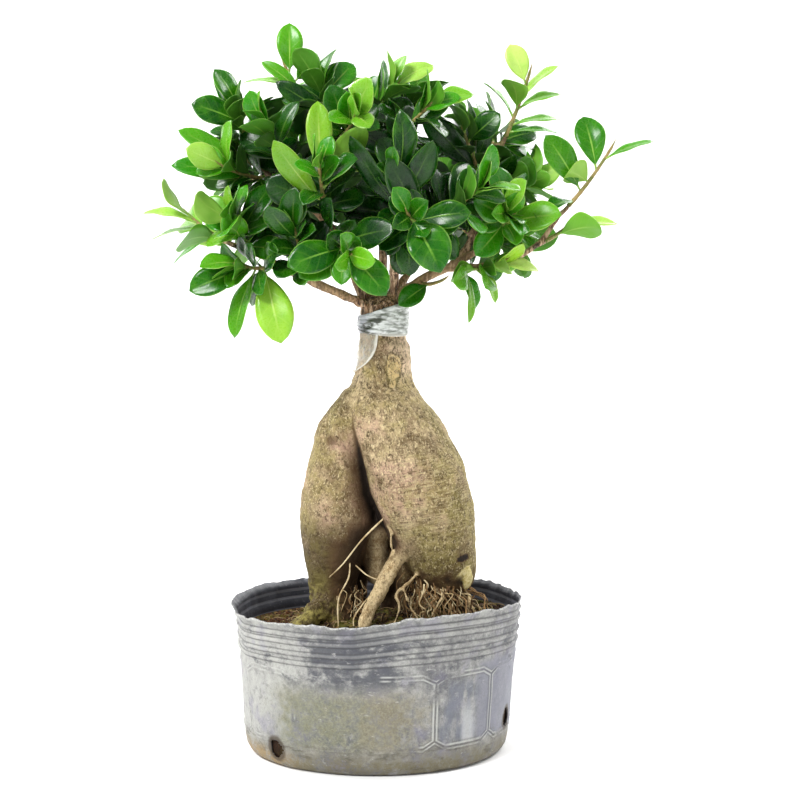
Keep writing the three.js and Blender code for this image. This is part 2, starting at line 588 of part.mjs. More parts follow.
// A point of a leaf's midsurface: place along it, and offset to the side in millimetres
function leafPoint(leaf, place, side) {
  const arch = LEAF_ARCH * leaf.length * 4 * place * (1 - place);
  return leaf.base.clone()
    .addScaledVector(leaf.along, leaf.length * place)
    .addScaledVector(leaf.across, side)
    .addScaledVector(leaf.normal, arch + LEAF_FOLD * Math.abs(side));
}

function leafHalfWidth(leaf, place) {
  const stations = [[0, 0], ...LEAF_STATIONS, [1, 0]];
  const next = stations.findIndex(([station]) => station >= place && station > 0);
  const [[fromPlace, fromShare], [toPlace, toShare]] = [stations[next - 1], stations[next]];
  return leaf.width / 2 * THREE.MathUtils.mapLinear(place, fromPlace, toPlace, fromShare, toShare);
}

function leafSamples(leaf) {
  const samples = [];
  const rows = Math.ceil(leaf.length / SAMPLE_STEP);
  for (let row = 1; row <= rows; row += 1) {
    const place = row / rows;
    const half = leafHalfWidth(leaf, place);
    const columns = Math.max(1, Math.ceil(2 * half / SAMPLE_STEP));
    for (let i = 0; i <= columns; i += 1) {
      const point = leafPoint(leaf, place, half * (2 * i / columns - 1));
      samples.push({ point, nearRoot: place < LEAF_ROOT });
    }
  }
  return samples;
}

const foliage = new Crowd();

function fits(leaf, shoot) {
  const spaceToLeaf = (sample) => (other) => {
    if (other.owner !== shoot.name) return LEAF_CLEARANCE;
    return sample.nearRoot || other.nearRoot ? 0 : OWN_CLEARANCE;
  };
  const spaceToWood = (sample) => (other) => {
    if (other.owner !== shoot.name) return other.radius + WOOD_SPACE;
    return sample.nearRoot ? 0 : other.radius + OWN_WOOD_SPACE;
  };
  return leafSamples(leaf).every((sample) => foliage.isFree(sample.point, spaceToLeaf(sample))
    && wood.isFree(sample.point, spaceToWood(sample)));
}

function addLeaf(leaf, shoot) {
  for (const { point, nearRoot } of leafSamples(leaf)) foliage.add(point, 0, shoot.name, nearRoot);
  shoot.leaves.push(leaf);
}

// The leaves that show are turned a little, or moved at the tip, until they are free
function growShownLeaves(shoot, shown, draw) {
  shown.forEach(([tip, width, face], i) => {
    const base = shoot.twig.getPoint((i + 0.6) / shown.length * 0.94);
    for (let attempt = 0; attempt < 2 * LEAF_DRAWS; attempt += 1) {
      const loose = attempt / LEAF_DRAWS;
      const shift = new THREE.Vector3(draw() - 0.5, 2 * (draw() - 0.5), draw() - 0.5);
      shift.multiplyScalar(LARGEST_SHIFT * loose);
      const turn = new THREE.Vector3(draw() - 0.5, draw() - 0.5, draw() - 0.5).multiplyScalar(loose);
      const leaf = leafAt(base, at(tip).add(shift), width, at(FACES[face]).add(turn));
      if (fits(leaf, shoot)) {
        addLeaf(leaf, shoot);
        return;
      }
    }
  });
}

// The other leaves stand round the twig by the golden angle, their glossy side to the tip and the light
function growRuleLeaves(shoot, count, draw) {
  const outward = shoot.tip.clone().sub(at(DOME_CENTRE)).normalize();
  const firstAngle = draw() * 2 * Math.PI;
  for (let i = 0; i < count; i += 1) {
    const place = count === 1 ? 0.5 : 0.12 + 0.88 * i / (count - 1);
    const base = shoot.twig.getPoint(Math.min(place, LAST_LEAF_PLACE));
    const ahead = shoot.twig.getTangent(Math.min(place, LAST_LEAF_PLACE));
    const side = new THREE.Vector3().crossVectors(ahead, new THREE.Vector3(0, 0, 1)).normalize();
    const up = new THREE.Vector3().crossVectors(side, ahead);
    for (let attempt = 0; attempt < LEAF_DRAWS; attempt += 1) {
      const angle = firstAngle + i * GOLDEN_ANGLE + (draw() - 0.5) * (0.4 + 0.35 * attempt);
      const spread = THREE.MathUtils.lerp(...LEAF_SPREAD, place) + (draw() - 0.5) * 0.4;
      const aim = ahead.clone().multiplyScalar(Math.cos(spread))
        .addScaledVector(side, Math.sin(spread) * Math.cos(angle))
        .addScaledVector(up, Math.sin(spread) * Math.sin(angle));
      const facing = ahead.clone().multiplyScalar(0.55).addScaledVector(outward, 0.65);
      facing.z += 0.3;
      facing.add(new THREE.Vector3(draw() - 0.5, draw() - 0.5, draw() - 0.5).multiplyScalar(0.7));
      const size = THREE.MathUtils.lerp(1, YOUNG_LEAF, place) * (0.88 + 0.24 * draw());
      const tip = base.clone().addScaledVector(aim.normalize(), LEAF_LENGTH * size);
      const leaf = leafAt(base, tip, LEAF_WIDTH * size, facing);
      if (fits(leaf, shoot)) {
        addLeaf(leaf, shoot);
        break;
      }
    }
  }
}

const leafDraw = seededDraws(FILL_SEED + 1);
for (const shoot of shoots) {
  if (SHOWN_SHOOTS[shoot.name]) growShownLeaves(shoot, SHOWN_SHOOTS[shoot.name][4], leafDraw);
}
for (const shoot of shoots) {
  growRuleLeaves(shoot, SHOWN_SHOOTS[shoot.name] ? SHOWN_SHOOTS[shoot.name][3] : FILL_LEAVES, leafDraw);
}

// A leaf's slab: the same triangles on its upper and its lower face
function leafSolid(leaf) {
  const [[low, lowShare], [high, highShare]] = LEAF_STATIONS;
  const [lowHalf, highHalf] = [lowShare * leaf.width / 2, highShare * leaf.width / 2];
  const face = [[0, 0], [low, -lowHalf], [low, lowHalf], [high, -highHalf], [high, highHalf], [1, 0]];
  const corners = [LEAF_THICKNESS / 2, -LEAF_THICKNESS / 2].flatMap((level) => face.map(
    ([place, side]) => leafPoint(leaf, place, side).addScaledVector(leaf.normal, level)));
  const triangles = [[0, 2, 1], [1, 2, 3], [2, 4, 3], [3, 4, 5]];
  const outline = [0, 1, 3, 5, 4, 2];
  const under = face.length;
  const index = triangles.flatMap(([a, b, c]) => [a, b, c, under + a, under + c, under + b]);
  outline.forEach((a, i) => {
    const b = outline[(i + 1) % outline.length];
    index.push(a, b, under + b, a, under + b, under + a);
  });
  const geometry = new THREE.BufferGeometry().setFromPoints(corners);
  geometry.setIndex(index);
  return solidFrom(geometry);
}

function buildShoot(shoot) {
  const twig = branch(shoot.twig, TWIG_RADIUS, TWIG_TIP_RADIUS, TWIG_SIDES, TWIG_STEPS);
  return joined([twig, ...shoot.leaves.map(leafSolid)]);
}

function buildLimbs() {
  const bodies = [column(CALLUS, CALLUS_SIDES)];
  for (const [name, curve] of limbCurves) {
    const steps = LIMBS[name][2].length;
    bodies.push(branch(curve, limbRadius(name, 0), limbRadius(name, 1), LIMB_SIDES, steps));
  }
  for (const { spur, spurRadius } of shoots) {
    const steps = spur.getLength() > LONG_SPUR ? 2 : 1;
    bodies.push(branch(spur, spurRadius, TWIG_RADIUS, TWIG_SIDES, steps));
  }
  return joined(bodies);
}

const paint = (color, roughness) => new THREE.MeshStandardMaterial({ color, roughness, metalness: 0 });
const filmMaterial = paint(0x7d8086, 0.6);
const soilMaterial = paint(0x3a2a1d, 1);
const barkMaterial = paint(0xa3906a, 0.85);
const tapeMaterial = paint(0xcdd0ca, 0.35);
const scionMaterial = paint(0x8a6a47, 0.75);
const leafMaterial = paint(0x2f7a22, 0.35);

const bonsai = new THREE.Group();
bonsai.add(meshFrom(buildPot(), 'pot', filmMaterial));
bonsai.add(meshFrom(buildSoil(buildCaudex(ROOT_CLEARANCE)), 'soil', soilMaterial));
bonsai.add(meshFrom(buildCaudex(), 'caudex', barkMaterial));
bonsai.add(meshFrom(buildTape(), 'graft_tape', tapeMaterial));
bonsai.add(meshFrom(buildLimbs(), 'scion_limbs', scionMaterial));
for (const shoot of shoots) bonsai.add(meshFrom(buildShoot(shoot), `shoot_${shoot.name}`, leafMaterial));

export default bonsai;
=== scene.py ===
# Ficus ginseng bonsai in its nursery pot: the finished look of each piece, in the order they go together.
# Sizes are written in millimetres and turned to metres as a piece is placed. +Z is up, the front is -Y.
import math

import bmesh
import bpy
import numpy as np
from mathutils import Matrix, Vector, noise
from mathutils.bvhtree import BVHTree
from mathutils.kdtree import KDTree


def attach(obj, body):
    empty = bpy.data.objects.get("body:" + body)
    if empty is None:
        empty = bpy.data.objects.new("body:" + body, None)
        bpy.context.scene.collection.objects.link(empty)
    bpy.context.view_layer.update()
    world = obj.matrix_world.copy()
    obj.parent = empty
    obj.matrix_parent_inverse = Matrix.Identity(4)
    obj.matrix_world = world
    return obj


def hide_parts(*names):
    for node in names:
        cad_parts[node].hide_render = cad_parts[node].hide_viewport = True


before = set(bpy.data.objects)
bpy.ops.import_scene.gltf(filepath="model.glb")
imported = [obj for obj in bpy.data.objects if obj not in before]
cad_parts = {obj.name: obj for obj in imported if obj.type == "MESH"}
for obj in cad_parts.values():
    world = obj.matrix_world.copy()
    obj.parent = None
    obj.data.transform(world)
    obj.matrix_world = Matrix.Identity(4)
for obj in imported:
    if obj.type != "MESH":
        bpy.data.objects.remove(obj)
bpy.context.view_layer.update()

# Nursery pot
# A thin blown film of black plastic, faded and dusty, with ribs under its torn rim and three drain holes.
# Turned from one profile: wall and floor are one skin, and dents, panels and tears are moved into the wall.
POT_HEIGHT = 88.6
POT_FLAT_RADIUS = 72
POT_WALL_LINE = [
    (72, 0), (75.2, 0.5), (76.6, 1.6), (78.3, 4.4), (79.4, 10), (80.6, 22), (82.8, 52), (85.2, 82.4)]
POT_RIB_HEIGHTS = (65.3, 71, 77.8, 82.4)
POT_RIB = 1.2
POT_RIB_HALF = 0.9
POT_RIM_FOOT = 84.2
POT_RIM_FLARE = 2.4
POT_RIM_LEAN = 0.9
# Degrees round from the front, and height
POT_RIM = [(-180, 90.5), (-90, 88.4), (-65, 85.5), (-46, 86.8), (-8, 87.6), (14, 92.4), (40, 92.8),
           (78, 90.5), (130, 92), (180, 90.5)]
POT_RIM_EASE = (45, 85)
POT_DENT = 0.7
# Teeth of the torn rim: height, slice of the noise, width
POT_TEETH = [(1.1, 3, 4.2), (0.9, 9, 1.7)]
POT_BURR = (0.7, 20, 0.8)
POT_FILM = 0.8
POT_TURNS = 400
POT_ROW = 1.0
POT_CORNER_ROWS = [0.5, 1.1, 1.7, 2.6, 3.4]  # heights of the closer rows round the corner of the base
POT_CORNER_TOP = 4.4
POT_FLOOR_ROW = 12
POT_FLOOR_TOP = 1.6
DRAIN_HOLES = [(-46, 11), (74, 22), (194, 14)]  # degrees round from the front, and height
DRAIN_HOLE_RADIUS = 5.4
DRAIN_HOLE_OUT = 79.5  # from the pot's axis
PANEL_COUNT = 12
PANEL_FIRST = 25  # degrees round from the front to a joint between two panels
PANEL_RADIUS = 81.5  # of the wall there
MM_PER_DEGREE = math.radians(1) * PANEL_RADIUS
PANEL_FOOT, PANEL_HEAD = 19.5, 53.5  # heights of the straight joint between two panels
PANEL_LOWEST, PANEL_HIGHEST = 15.5, 57.5
PANEL_LINE = [(0, PANEL_FOOT), (0, PANEL_HEAD)]
PANEL_TOP = [(0, PANEL_HEAD), (6.5, 57), (9, PANEL_HIGHEST), (22, PANEL_HIGHEST)]
PANEL_BOTTOM = [(0, PANEL_FOOT), (6, 16), (9, PANEL_LOWEST), (22, PANEL_LOWEST)]
PANEL_RIDGE = 0.55
PANEL_RIDGE_HALF = 0.5
PANEL_LINE_GAP = 1.15
PANEL_REACH = 3  # no ridge stands farther than this from the outline


def smooth_step(low, high, value):
    share = min(max((value - low) / (high - low), 0), 1)
    return share * share * (3 - 2 * share)


def seeded_draws(seed):
    """A small generator of numbers from 0 to 1, so that everything falls the same way each time."""
    state = seed

    def draw():
        nonlocal state
        state = (state * 1664525 + 1013904223) % 2 ** 32
        return state / 2 ** 32

    return draw


def noise_at(x, y, z, size):
    """Smooth noise from about -1 to 1, with bumps of that size."""
    return noise.noise(Vector((x / size, y / size, z / size)))


def noise_sum(x, y, waves):
    """Layers of noise over a flat place: each has its height, its slice of the noise and its width."""
    return sum(height * noise_at(x, y, part, width) for height, part, width in waves)


def plain_radius(height):
    """Outside radius of the pot's wall at a height, without its ribs."""
    radii, heights = zip(*POT_WALL_LINE)
    return float(np.interp(height, heights, radii))


def wall_radius(height):
    """Outside radius of the pot at a height."""
    radius = plain_radius(height)
    for rib in POT_RIB_HEIGHTS:
        radius += POT_RIB * math.exp(-((height - rib) / POT_RIB_HALF) ** 2)
    return radius + POT_RIM_FLARE * smooth_step(POT_RIM_FOOT, POT_HEIGHT, height)


def distance_to_line(point, line):
    """Distance in the unrolled wall from a point to a line of points."""
    best = math.inf
    for (ax, ay), (bx, by) in zip(line, line[1:]):
        along, up = bx - ax, by - ay
        share = ((point[0] - ax) * along + (point[1] - ay) * up) / (along ** 2 + up ** 2)
        share = min(max(share, 0), 1)
        best = min(best, math.hypot(point[0] - ax - share * along, point[1] - ay - share * up))
    return best


def blend(first, last, share):
    """From first at a share of 0 to last at 1, in even steps."""
    return first + (last - first) * share


def panel_ridge(degrees, height):
    """How far the moulded outline of the panels stands out: two thin lines side by side."""
    if not PANEL_LOWEST - PANEL_REACH < height < PANEL_HIGHEST + PANEL_REACH:
        return 0
    turn = 360 / PANEL_COUNT
    aside = abs((degrees - PANEL_FIRST + turn / 2) % turn - turn / 2) * MM_PER_DEGREE
    if aside > PANEL_REACH and PANEL_FOOT + PANEL_REACH < height < PANEL_HEAD - PANEL_REACH:
        return 0
    away = min(distance_to_line((aside, height), line) for line in (PANEL_LINE, PANEL_TOP, PANEL_BOTTOM))
    if away > PANEL_REACH:
        return 0
    return PANEL_RIDGE * math.exp(-((away - PANEL_LINE_GAP) / PANEL_RIDGE_HALF) ** 2)


def rim_height(degrees):
    """Height that the rim was cut to, before it tore."""
    return float(np.interp(degrees, *zip(*POT_RIM)))


def rim_teeth(degrees):
    """The steps and fine teeth where the rim tore."""
    x, y = 30 * math.cos(math.radians(degrees)), 30 * math.sin(math.radians(degrees))
    burr, part, width = POT_BURR
    return noise_sum(x, y, POT_TEETH) + burr * abs(noise_at(x, y, part, width))


def shape_wall(point):
    """A point of the round wall, moved for dents, panels, wrinkles and the torn rim."""
    x, y, z = point
    radius = math.hypot(x, y)
    if radius < 1:
        return point
    angle = math.atan2(y, x)
    degrees = math.degrees(math.atan2(x, -y))
    share = min(max(z / POT_HEIGHT, 0), 1)
    dent = POT_DENT * share * (math.sin(3 * angle + 1) + 0.6 * math.sin(5 * angle + 2.2))
    dent -= POT_RIM_LEAN * smooth_step(83.4, POT_HEIGHT, z) * math.cos(angle)
    on_wall = smooth_step(POT_FLAT_RADIUS, POT_FLAT_RADIUS + 3, radius)
    crumple = noise_at(x, y, z * 0.6, 24) * 1.3 + noise_at(x, y, z, 9) * 0.35
    fold = max(0, noise_at(x, y, z * 0.25 + 40, 7)) * smooth_step(60, 88, z) * 1.1
    dent += on_wall * (crumple * (0.35 + 0.65 * share) + fold + panel_ridge(degrees, z))
    lift = smooth_step(*POT_RIM_EASE, z) * (rim_height(degrees) - POT_HEIGHT)
    lift += smooth_step(POT_RIM_FOOT, POT_HEIGHT, z) * rim_teeth(degrees)
    scale = (radius + dent) / radius
    return Vector((x * scale, y * scale, z + lift))


def mesh_of(shape, name):
    """The mesh of a bmesh, which is done with then."""
    mesh = bpy.data.meshes.new(name)
    shape.to_mesh(mesh)
    shape.free()
    return mesh


def placed(shape, name, materials):
    """A smooth-faced object in the scene from a bmesh in millimetres."""
    bmesh.ops.scale(shape, vec=(0.001, 0.001, 0.001), verts=shape.verts)
    for face in shape.faces:
        face.smooth = True
    thing = bpy.data.objects.new(name, mesh_of(shape, name))
    bpy.context.scene.collection.objects.link(thing)
    for material in materials:
        thing.data.materials.append(material)
    return thing


def piece_from(shape, name, slot, stands_for, *materials):
    """A finished piece of the plant, which rides on its one body."""
    piece = placed(shape, name, materials)
    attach(piece, "root")
    if stands_for:
        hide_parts(*stands_for)
    return piece


def point_values(shape, *names):
    """Gives every point a number under each name, for a finish to read."""
    for name in names:
        shape.verts.layers.float.new(name)
    return [shape.verts.layers.float[name] for name in names]


def sealed(shape, gap=0.001):
    """Closes the seams and poles of a bmesh, and turns its faces outwards."""
    bmesh.ops.remove_doubles(shape, verts=shape.verts, dist=gap)
    bmesh.ops.recalc_face_normals(shape, faces=shape.faces)
    return shape


def spun(profile, turns):
    """A closed body turned round Z: its profile of (radius, height) starts and ends on the axis."""
    shape = bmesh.new()
    line = [shape.verts.new((radius, 0, height)) for radius, height in profile]
    edges = [shape.edges.new(pair) for pair in zip(line, line[1:])]
    bmesh.ops.spin(shape, geom=line + edges, cent=(0, 0, 0), axis=(0, 0, 1), angle=2 * math.pi, steps=turns,
                   use_merge=True)
    return sealed(shape)


def resampled(line, step):
    """The same line with a point at least every step."""
    points = [line[0]]
    for (ax, ay), (bx, by) in zip(line, line[1:]):
        count = max(1, math.ceil(math.hypot(bx - ax, by - ay) / step))
        points.extend((ax + (bx - ax) * i / count, ay + (by - ay) * i / count) for i in range(1, count + 1))
    return points


wall_rows = round((POT_HEIGHT - POT_CORNER_TOP) / POT_ROW)
wall_heights = POT_CORNER_ROWS + list(np.linspace(POT_CORNER_TOP, POT_HEIGHT, wall_rows))
outside = [(wall_radius(height), height) for height in wall_heights]
inside = [(radius - POT_FILM, height) for radius, height in outside[::-2] if height > 2.2]
floor_line = resampled([(0, 0), (POT_FLAT_RADIUS, 0)], POT_FLOOR_ROW)
ceiling_line = resampled([(POT_FLAT_RADIUS + 1, POT_FLOOR_TOP), (0, POT_FLOOR_TOP)], POT_FLOOR_ROW)
pot_shape = spun(floor_line + outside + inside + ceiling_line, POT_TURNS)
inner_side, level = point_values(pot_shape, "inner_side", "level")
for vert in pot_shape.verts:
    radius = math.hypot(vert.co.x, vert.co.y)
    inner = vert.co.z > 1.5 and radius < wall_radius(vert.co.z) - POT_FILM / 2
    vert[inner_side] = float(inner)
    vert[level] = vert.co.z
    vert.co = shape_wall(vert.co)
# The drain holes are punched where the faces of both skins lie inside the round, and their lips are closed
for degrees, height in DRAIN_HOLES:
    turn = math.radians(degrees)
    out = Vector((math.sin(turn), -math.cos(turn), 0))
    middle = out * DRAIN_HOLE_OUT + Vector((0, 0, height))
    torn = seeded_draws(round(height))() * 6
    punched = []
    for face in pot_shape.faces:
        from_middle = face.calc_center_median() - middle
        aside = from_middle.cross(Vector((0, 0, 1))).dot(out)
        edge = DRAIN_HOLE_RADIUS * (1 + 0.07 * math.sin(3 * math.atan2(from_middle.z, aside) + torn))
        if from_middle.length < 2 * DRAIN_HOLE_RADIUS and math.hypot(aside, from_middle.z) < edge:
            punched.append(face)
    bmesh.ops.delete(pot_shape, geom=punched, context="FACES")
    lips = [edge for edge in pot_shape.edges if edge.is_boundary]
    bmesh.ops.bridge_loops(pot_shape, edges=lips)
bmesh.ops.recalc_face_normals(pot_shape, faces=pot_shape.faces)


class Socket:
    """A shader socket. Python's operators on it add Math nodes."""

    def __init__(self, finish, link):
        self.finish = finish
        self.link = link

    def maths(self, operation, *values):
        return self.finish.node("ShaderNodeMath", {"operation": operation}, values)

    def __add__(self, other):
        return self.maths("ADD", self, other)

    __radd__ = __add__

    def __sub__(self, other):
        return self.maths("SUBTRACT", self, other)

    def __rsub__(self, other):
        return self.maths("SUBTRACT", other, self)

    def __mul__(self, other):
        return self.maths("MULTIPLY", self, other)

    __rmul__ = __mul__

    def __truediv__(self, other):
        return self.maths("DIVIDE", self, other)

    def __pow__(self, other):
        return self.maths("POWER", self, other)

    def __abs__(self):
        return self.maths("ABSOLUTE", self)

    def least(self, other):
        return self.maths("MINIMUM", self, other)

    def most(self, other):
        return self.maths("MAXIMUM", self, other)

    def between(self, low, high):
        """0 below low, 1 above high, and a smooth rise between them."""
        return self.finish.node("ShaderNodeMapRange", {"interpolation_type": "SMOOTHSTEP"},
                                {"Value": self, "From Min": low, "From Max": high})


class Finish:
    """A procedural material: its nodes are made by one method, and its shader's sockets set by another."""

    def __init__(self, name):
        self.material = bpy.data.materials.new(name)
        self.material.use_nodes = True
        self.tree = self.material.node_tree
        self.shader = self.tree.nodes["Principled BSDF"]
        self.place = self.node("ShaderNodeTexCoord", output="Object")
        self.colour = None

    def node(self, kind, settings=None, sockets=(), output=0):
        made = self.tree.nodes.new(kind)
        for name, value in (settings or {}).items():
            setattr(made, name, value)
        pairs = sockets.items() if isinstance(sockets, dict) else enumerate(sockets)
        for key, value in pairs:
            if isinstance(value, Socket):
                self.tree.links.new(value.link, made.inputs[key])
            else:
                made.inputs[key].default_value = value
        return Socket(self, made.outputs[output])

    def attribute(self, name):
        return self.node("ShaderNodeAttribute", {"attribute_name": name}, output="Fac")

    def axis(self, name):
        return self.node("ShaderNodeSeparateXYZ", sockets=[self.place], output=name)

    def grain(self, size, stretch=(1, 1, 1), detail=2, rough=0.5, warp=0, shift=0, tilt=0):
        """Noise from 0 to 1 with bumps of that size in millimetres; a larger stretch makes them longer."""
        place = self.place
        if tilt:
            place = self.node("ShaderNodeMapping", sockets={"Vector": place, "Rotation": (0, tilt, 0)})
        moved = self.node("ShaderNodeMapping", sockets={
            "Vector": place, "Scale": [1000 / size / way for way in stretch], "Location": [shift] * 3})
        return self.node("ShaderNodeTexNoise", sockets={
            "Vector": moved, "Scale": 1, "Detail": detail, "Roughness": rough, "Distortion": warp})

    def cells(self, size):
        """A random colour for every cell of that size."""
        moved = self.node("ShaderNodeMapping", sockets={"Vector": self.place, "Scale": [1000 / size] * 3})
        return self.node("ShaderNodeTexVoronoi", {"feature": "F1"}, {"Vector": moved, "Scale": 1}, "Color")

    def mix(self, share, first, second):
        """One colour over another by share: each is a tone from 0 to 255, or a colour already mixed."""
        first, second = (shade if isinstance(shade, Socket) else tone(*shade) for shade in (first, second))
        return self.node("ShaderNodeMix", {"data_type": "RGBA"}, {0: share, 6: first, 7: second}, 2)

    def lay(self, share, shade):
        """One more colour, by share, over those laid so far."""
        self.colour = self.mix(share, self.colour, shade)

    def bump(self, height, depth):
        """A normal from a height from 0 to 1, with its real depth in millimetres."""
        sockets = {"Height": height, "Distance": depth / 1000, "Strength": 1}
        return self.node("ShaderNodeBump", sockets=sockets)

    def coat(self, **sockets):
        for name, value in sockets.items():
            socket = self.shader.inputs[name.replace("_", " ")]
            if isinstance(value, Socket):
                self.tree.links.new(value.link, socket)
            else:
                socket.default_value = value
        return self.material


def tone(red, green, blue):
    """A colour as it looks on screen, from 0 to 255, turned to light."""
    light = [value / 255 / 12.92 if value < 11 else ((value / 255 + 0.055) / 1.055) ** 2.4
             for value in (red, green, blue)]
    return (*light, 1)


# The film: black where it is clean, greyed by weather, with olive dust, lime and old splashes of soil;
# painted light on its left side, painted shade in the rib grooves and a painted sheen inside


def film_finish():
    film = Finish("weathered_pot_film")
    across, depth, tall = film.axis("X"), film.axis("Y"), film.axis("Z") * 1000
    level, inner = film.attribute("level"), film.attribute("inner_side")
    degrees = across.maths("ARCTAN2", across, depth * -1) * math.degrees(1)
    # The double outline of the moulded panels
    aside = degrees.maths("PINGPONG", degrees - PANEL_FIRST, 180 / PANEL_COUNT) * MM_PER_DEGREE
    past_end = (PANEL_FOOT - tall).most(tall - PANEL_HEAD).most(0)
    upright = (aside * aside + past_end * past_end) ** 0.5
    top_edge = abs(tall - (aside * 0.5 + PANEL_HEAD).least(PANEL_HIGHEST))
    low_edge = abs(tall - (PANEL_FOOT - aside * 0.58).most(PANEL_LOWEST))
    near = upright.least(top_edge).least(low_edge)
    ridge = near.between(0.35, 0.95) * near.between(2.0, 1.4)
    furrow = near.between(0.8, 0.2).most(near.between(1.8, 2.1) * near.between(3.0, 2.3) * 0.7)
    # The ribs under the rim, with dirt and painted shade in the groove on both sides
    rib, groove_dirt_and_shade = 0, 0
    for rib_height in POT_RIB_HEIGHTS:
        away = abs(level - rib_height)
        rib = away.between(1.2, 0.4).most(rib)
        groove_dirt_and_shade = (away.between(1.0, 1.4) * away.between(2.4, 1.7)).most(groove_dirt_and_shade)
    big = film.grain(34, (1, 1, 1.4), 4, 0.6)
    blotch = film.grain(9, detail=5, rough=0.75, shift=9)
    streak = film.grain(5, (1, 1, 4), 3, 0.6, shift=4)
    speck = film.grain(1.6, detail=3, rough=0.75, shift=2)
    pits = film.grain(0.9, detail=3, rough=0.7, shift=12)
    weather = (big * 0.5 + blotch * 0.7 + speck * 0.3).between(0.56, 0.92)
    film.colour = film.mix(weather, (92, 92, 96), (162, 162, 158))
    # The left side is painted paler, as light falling from the left
    painted_light_side = (across * -12 + blotch * 0.9 + big * 0.5 - 1.0).between(0, 0.55)
    film.lay(painted_light_side * 0.75, (172, 172, 166))
    mottle = film.grain(4.5, detail=4, rough=0.7, shift=83)
    film.lay(mottle.between(0.52, 0.66) * 0.35, (190, 190, 184))
    film.lay(mottle.between(0.47, 0.36) * 0.4, (92, 92, 92))
    violet = film.grain(15, detail=3, shift=70).between(0.52, 0.66)
    film.lay(violet * 0.4, (132, 129, 148))
    # A field of olive dust across the front
    dust = (across + blotch * 0.03).between(-0.052, -0.03) * (across - blotch * 0.05).between(0.016, -0.016)
    dust = dust * (tall - blotch * 22).between(-3, 8) * (tall + blotch * 24).between(70, 54)
    dust = dust * (blotch * 0.8 + big * 0.3 + speck * 0.4).between(0.5, 0.85)
    dusty = film.mix((across * 7 + big + blotch * 0.9).between(0.5, 1.3), (104, 107, 82), (112, 104, 82))
    dusty = film.mix(speck.between(0.4, 0.65) * 0.42, dusty, (156, 152, 126))
    film.lay(dust * 0.9, dusty)
    # One panel is still clean and slate-coloured, and its neighbour is streaked
    clean = (degrees + blotch * 8).between(48, 53) * degrees.between(96, 84) * tall.between(15, 18)
    film.lay(clean * tall.between(65, 59) * 0.8, (126, 127, 138))
    streaked = degrees.between(26, 28) * (degrees + blotch * 8).between(54, 48) * tall.between(16, 21)
    streaked = streaked * tall.between(58, 48) * streak.between(0.36, 0.6)
    film.lay(streaked * 0.75, (106, 110, 122))
    limed = degrees.between(37, 40) * degrees.between(47, 43) * tall.between(14, 20) * tall.between(46, 30)
    film.lay(limed * (0.3 + streak) * 0.8, (186, 187, 188))
    smudge = film.grain(13, (1.5, 1.5, 0.8), 5, 0.7, shift=17) + speck * 0.25
    smudge = (smudge + across.between(-0.05, -0.02) * across.between(0.03, 0.0) * 0.2).between(0.64, 0.82)
    smudge = smudge * tall.between(46, 57) * tall.between(92, 76)
    film.lay(smudge * 0.85, (66, 68, 76))
    film.lay(rib * (big * 1.2 - 0.2) * 0.5, (186, 186, 180))
    # Dirt and painted shade in the grooves beside the ribs
    film.lay(groove_dirt_and_shade * (blotch * 1.0 + 0.05), (58, 58, 60))
    # The outline of the panels is worn or dusted over in most places
    plain_view = degrees.between(14, 22) * degrees.between(66, 56) * (1 - tall.between(54.5, 57) * 0.8) * 0.22
    worn = (film.grain(17, detail=3, rough=0.6, shift=60) + plain_view - dust * 0.16).between(0.5, 0.72)
    film.lay(furrow * worn * 0.5, (84, 84, 84))
    film.lay(ridge * worn * 0.7, (196, 197, 192))
    low = tall.between(20, 5) * (blotch * 0.9 + speck * 0.4).between(0.42, 0.75)
    film.lay(low * 0.88, (100, 92, 62))
    low_dark = film.grain(9, (1.8, 1.8, 0.6), 4, 0.7, shift=44).between(0.52, 0.66) * tall.between(26, 10)
    film.lay(low_dark * 0.65, (74, 70, 58))
    rust = across.between(-0.036, -0.066) * tall.between(13, 5)
    rust = rust * (blotch * 0.9 + speck * 0.5).between(0.5, 0.9)
    film.lay(rust * 0.7, (176, 142, 88))
    scuff = film.grain(2.4, (3, 3, 1), 3, 0.75, shift=31).between(0.62, 0.74)
    film.lay(scuff * 0.45, (190, 189, 184))
    grime = pits.between(0.48, 0.34) * (blotch * 1.4 - 0.3)
    film.lay(grime * 0.55, (72, 70, 64))
    film.lay(level.between(87.0, 88.3) * speck.between(0.4, 0.6) * 0.7, (208, 208, 202))
    for hole_degrees, hole_height in DRAIN_HOLES:
        turn, out = math.radians(hole_degrees), (DRAIN_HOLE_OUT - 0.3) / 1000
        centre = (math.sin(turn) * out, -math.cos(turn) * out, hole_height / 1000)
        away = film.node("ShaderNodeVectorMath", {"operation": "DISTANCE"}, [film.place, centre], "Value")
        away = away * 1000
        lip = (away + blotch * 3).between(10.4, 8)
        film.lay(lip * 0.85, (66, 54, 38))
    # The inside is still dark, with a painted sheen on its ribs
    cloud = film.grain(12, detail=3, rough=0.6, shift=5).between(0.4, 0.8)
    dark = film.mix(cloud * 0.5, (36, 38, 46), (78, 80, 90))
    # A painted sheen on the inner ribs, and pale specks
    dark = film.mix((rib * 0.5).most(speck.between(0.6, 0.7) * 0.4), dark, (122, 124, 132))
    film.lay(inner, dark)
    relief = blotch * 0.5 + speck * 0.35 + pits * 0.2 + ridge * (1 - inner) * (0.3 + worn * 0.6)
    return film.coat(Base_Color=film.colour, Roughness=0.6 - inner * 0.15, Normal=film.bump(relief, 0.45),
                     Specular_IOR_Level=0.4)


piece_from(pot_shape, "nursery_pot", "pot_film", ["pot"], film_finish())

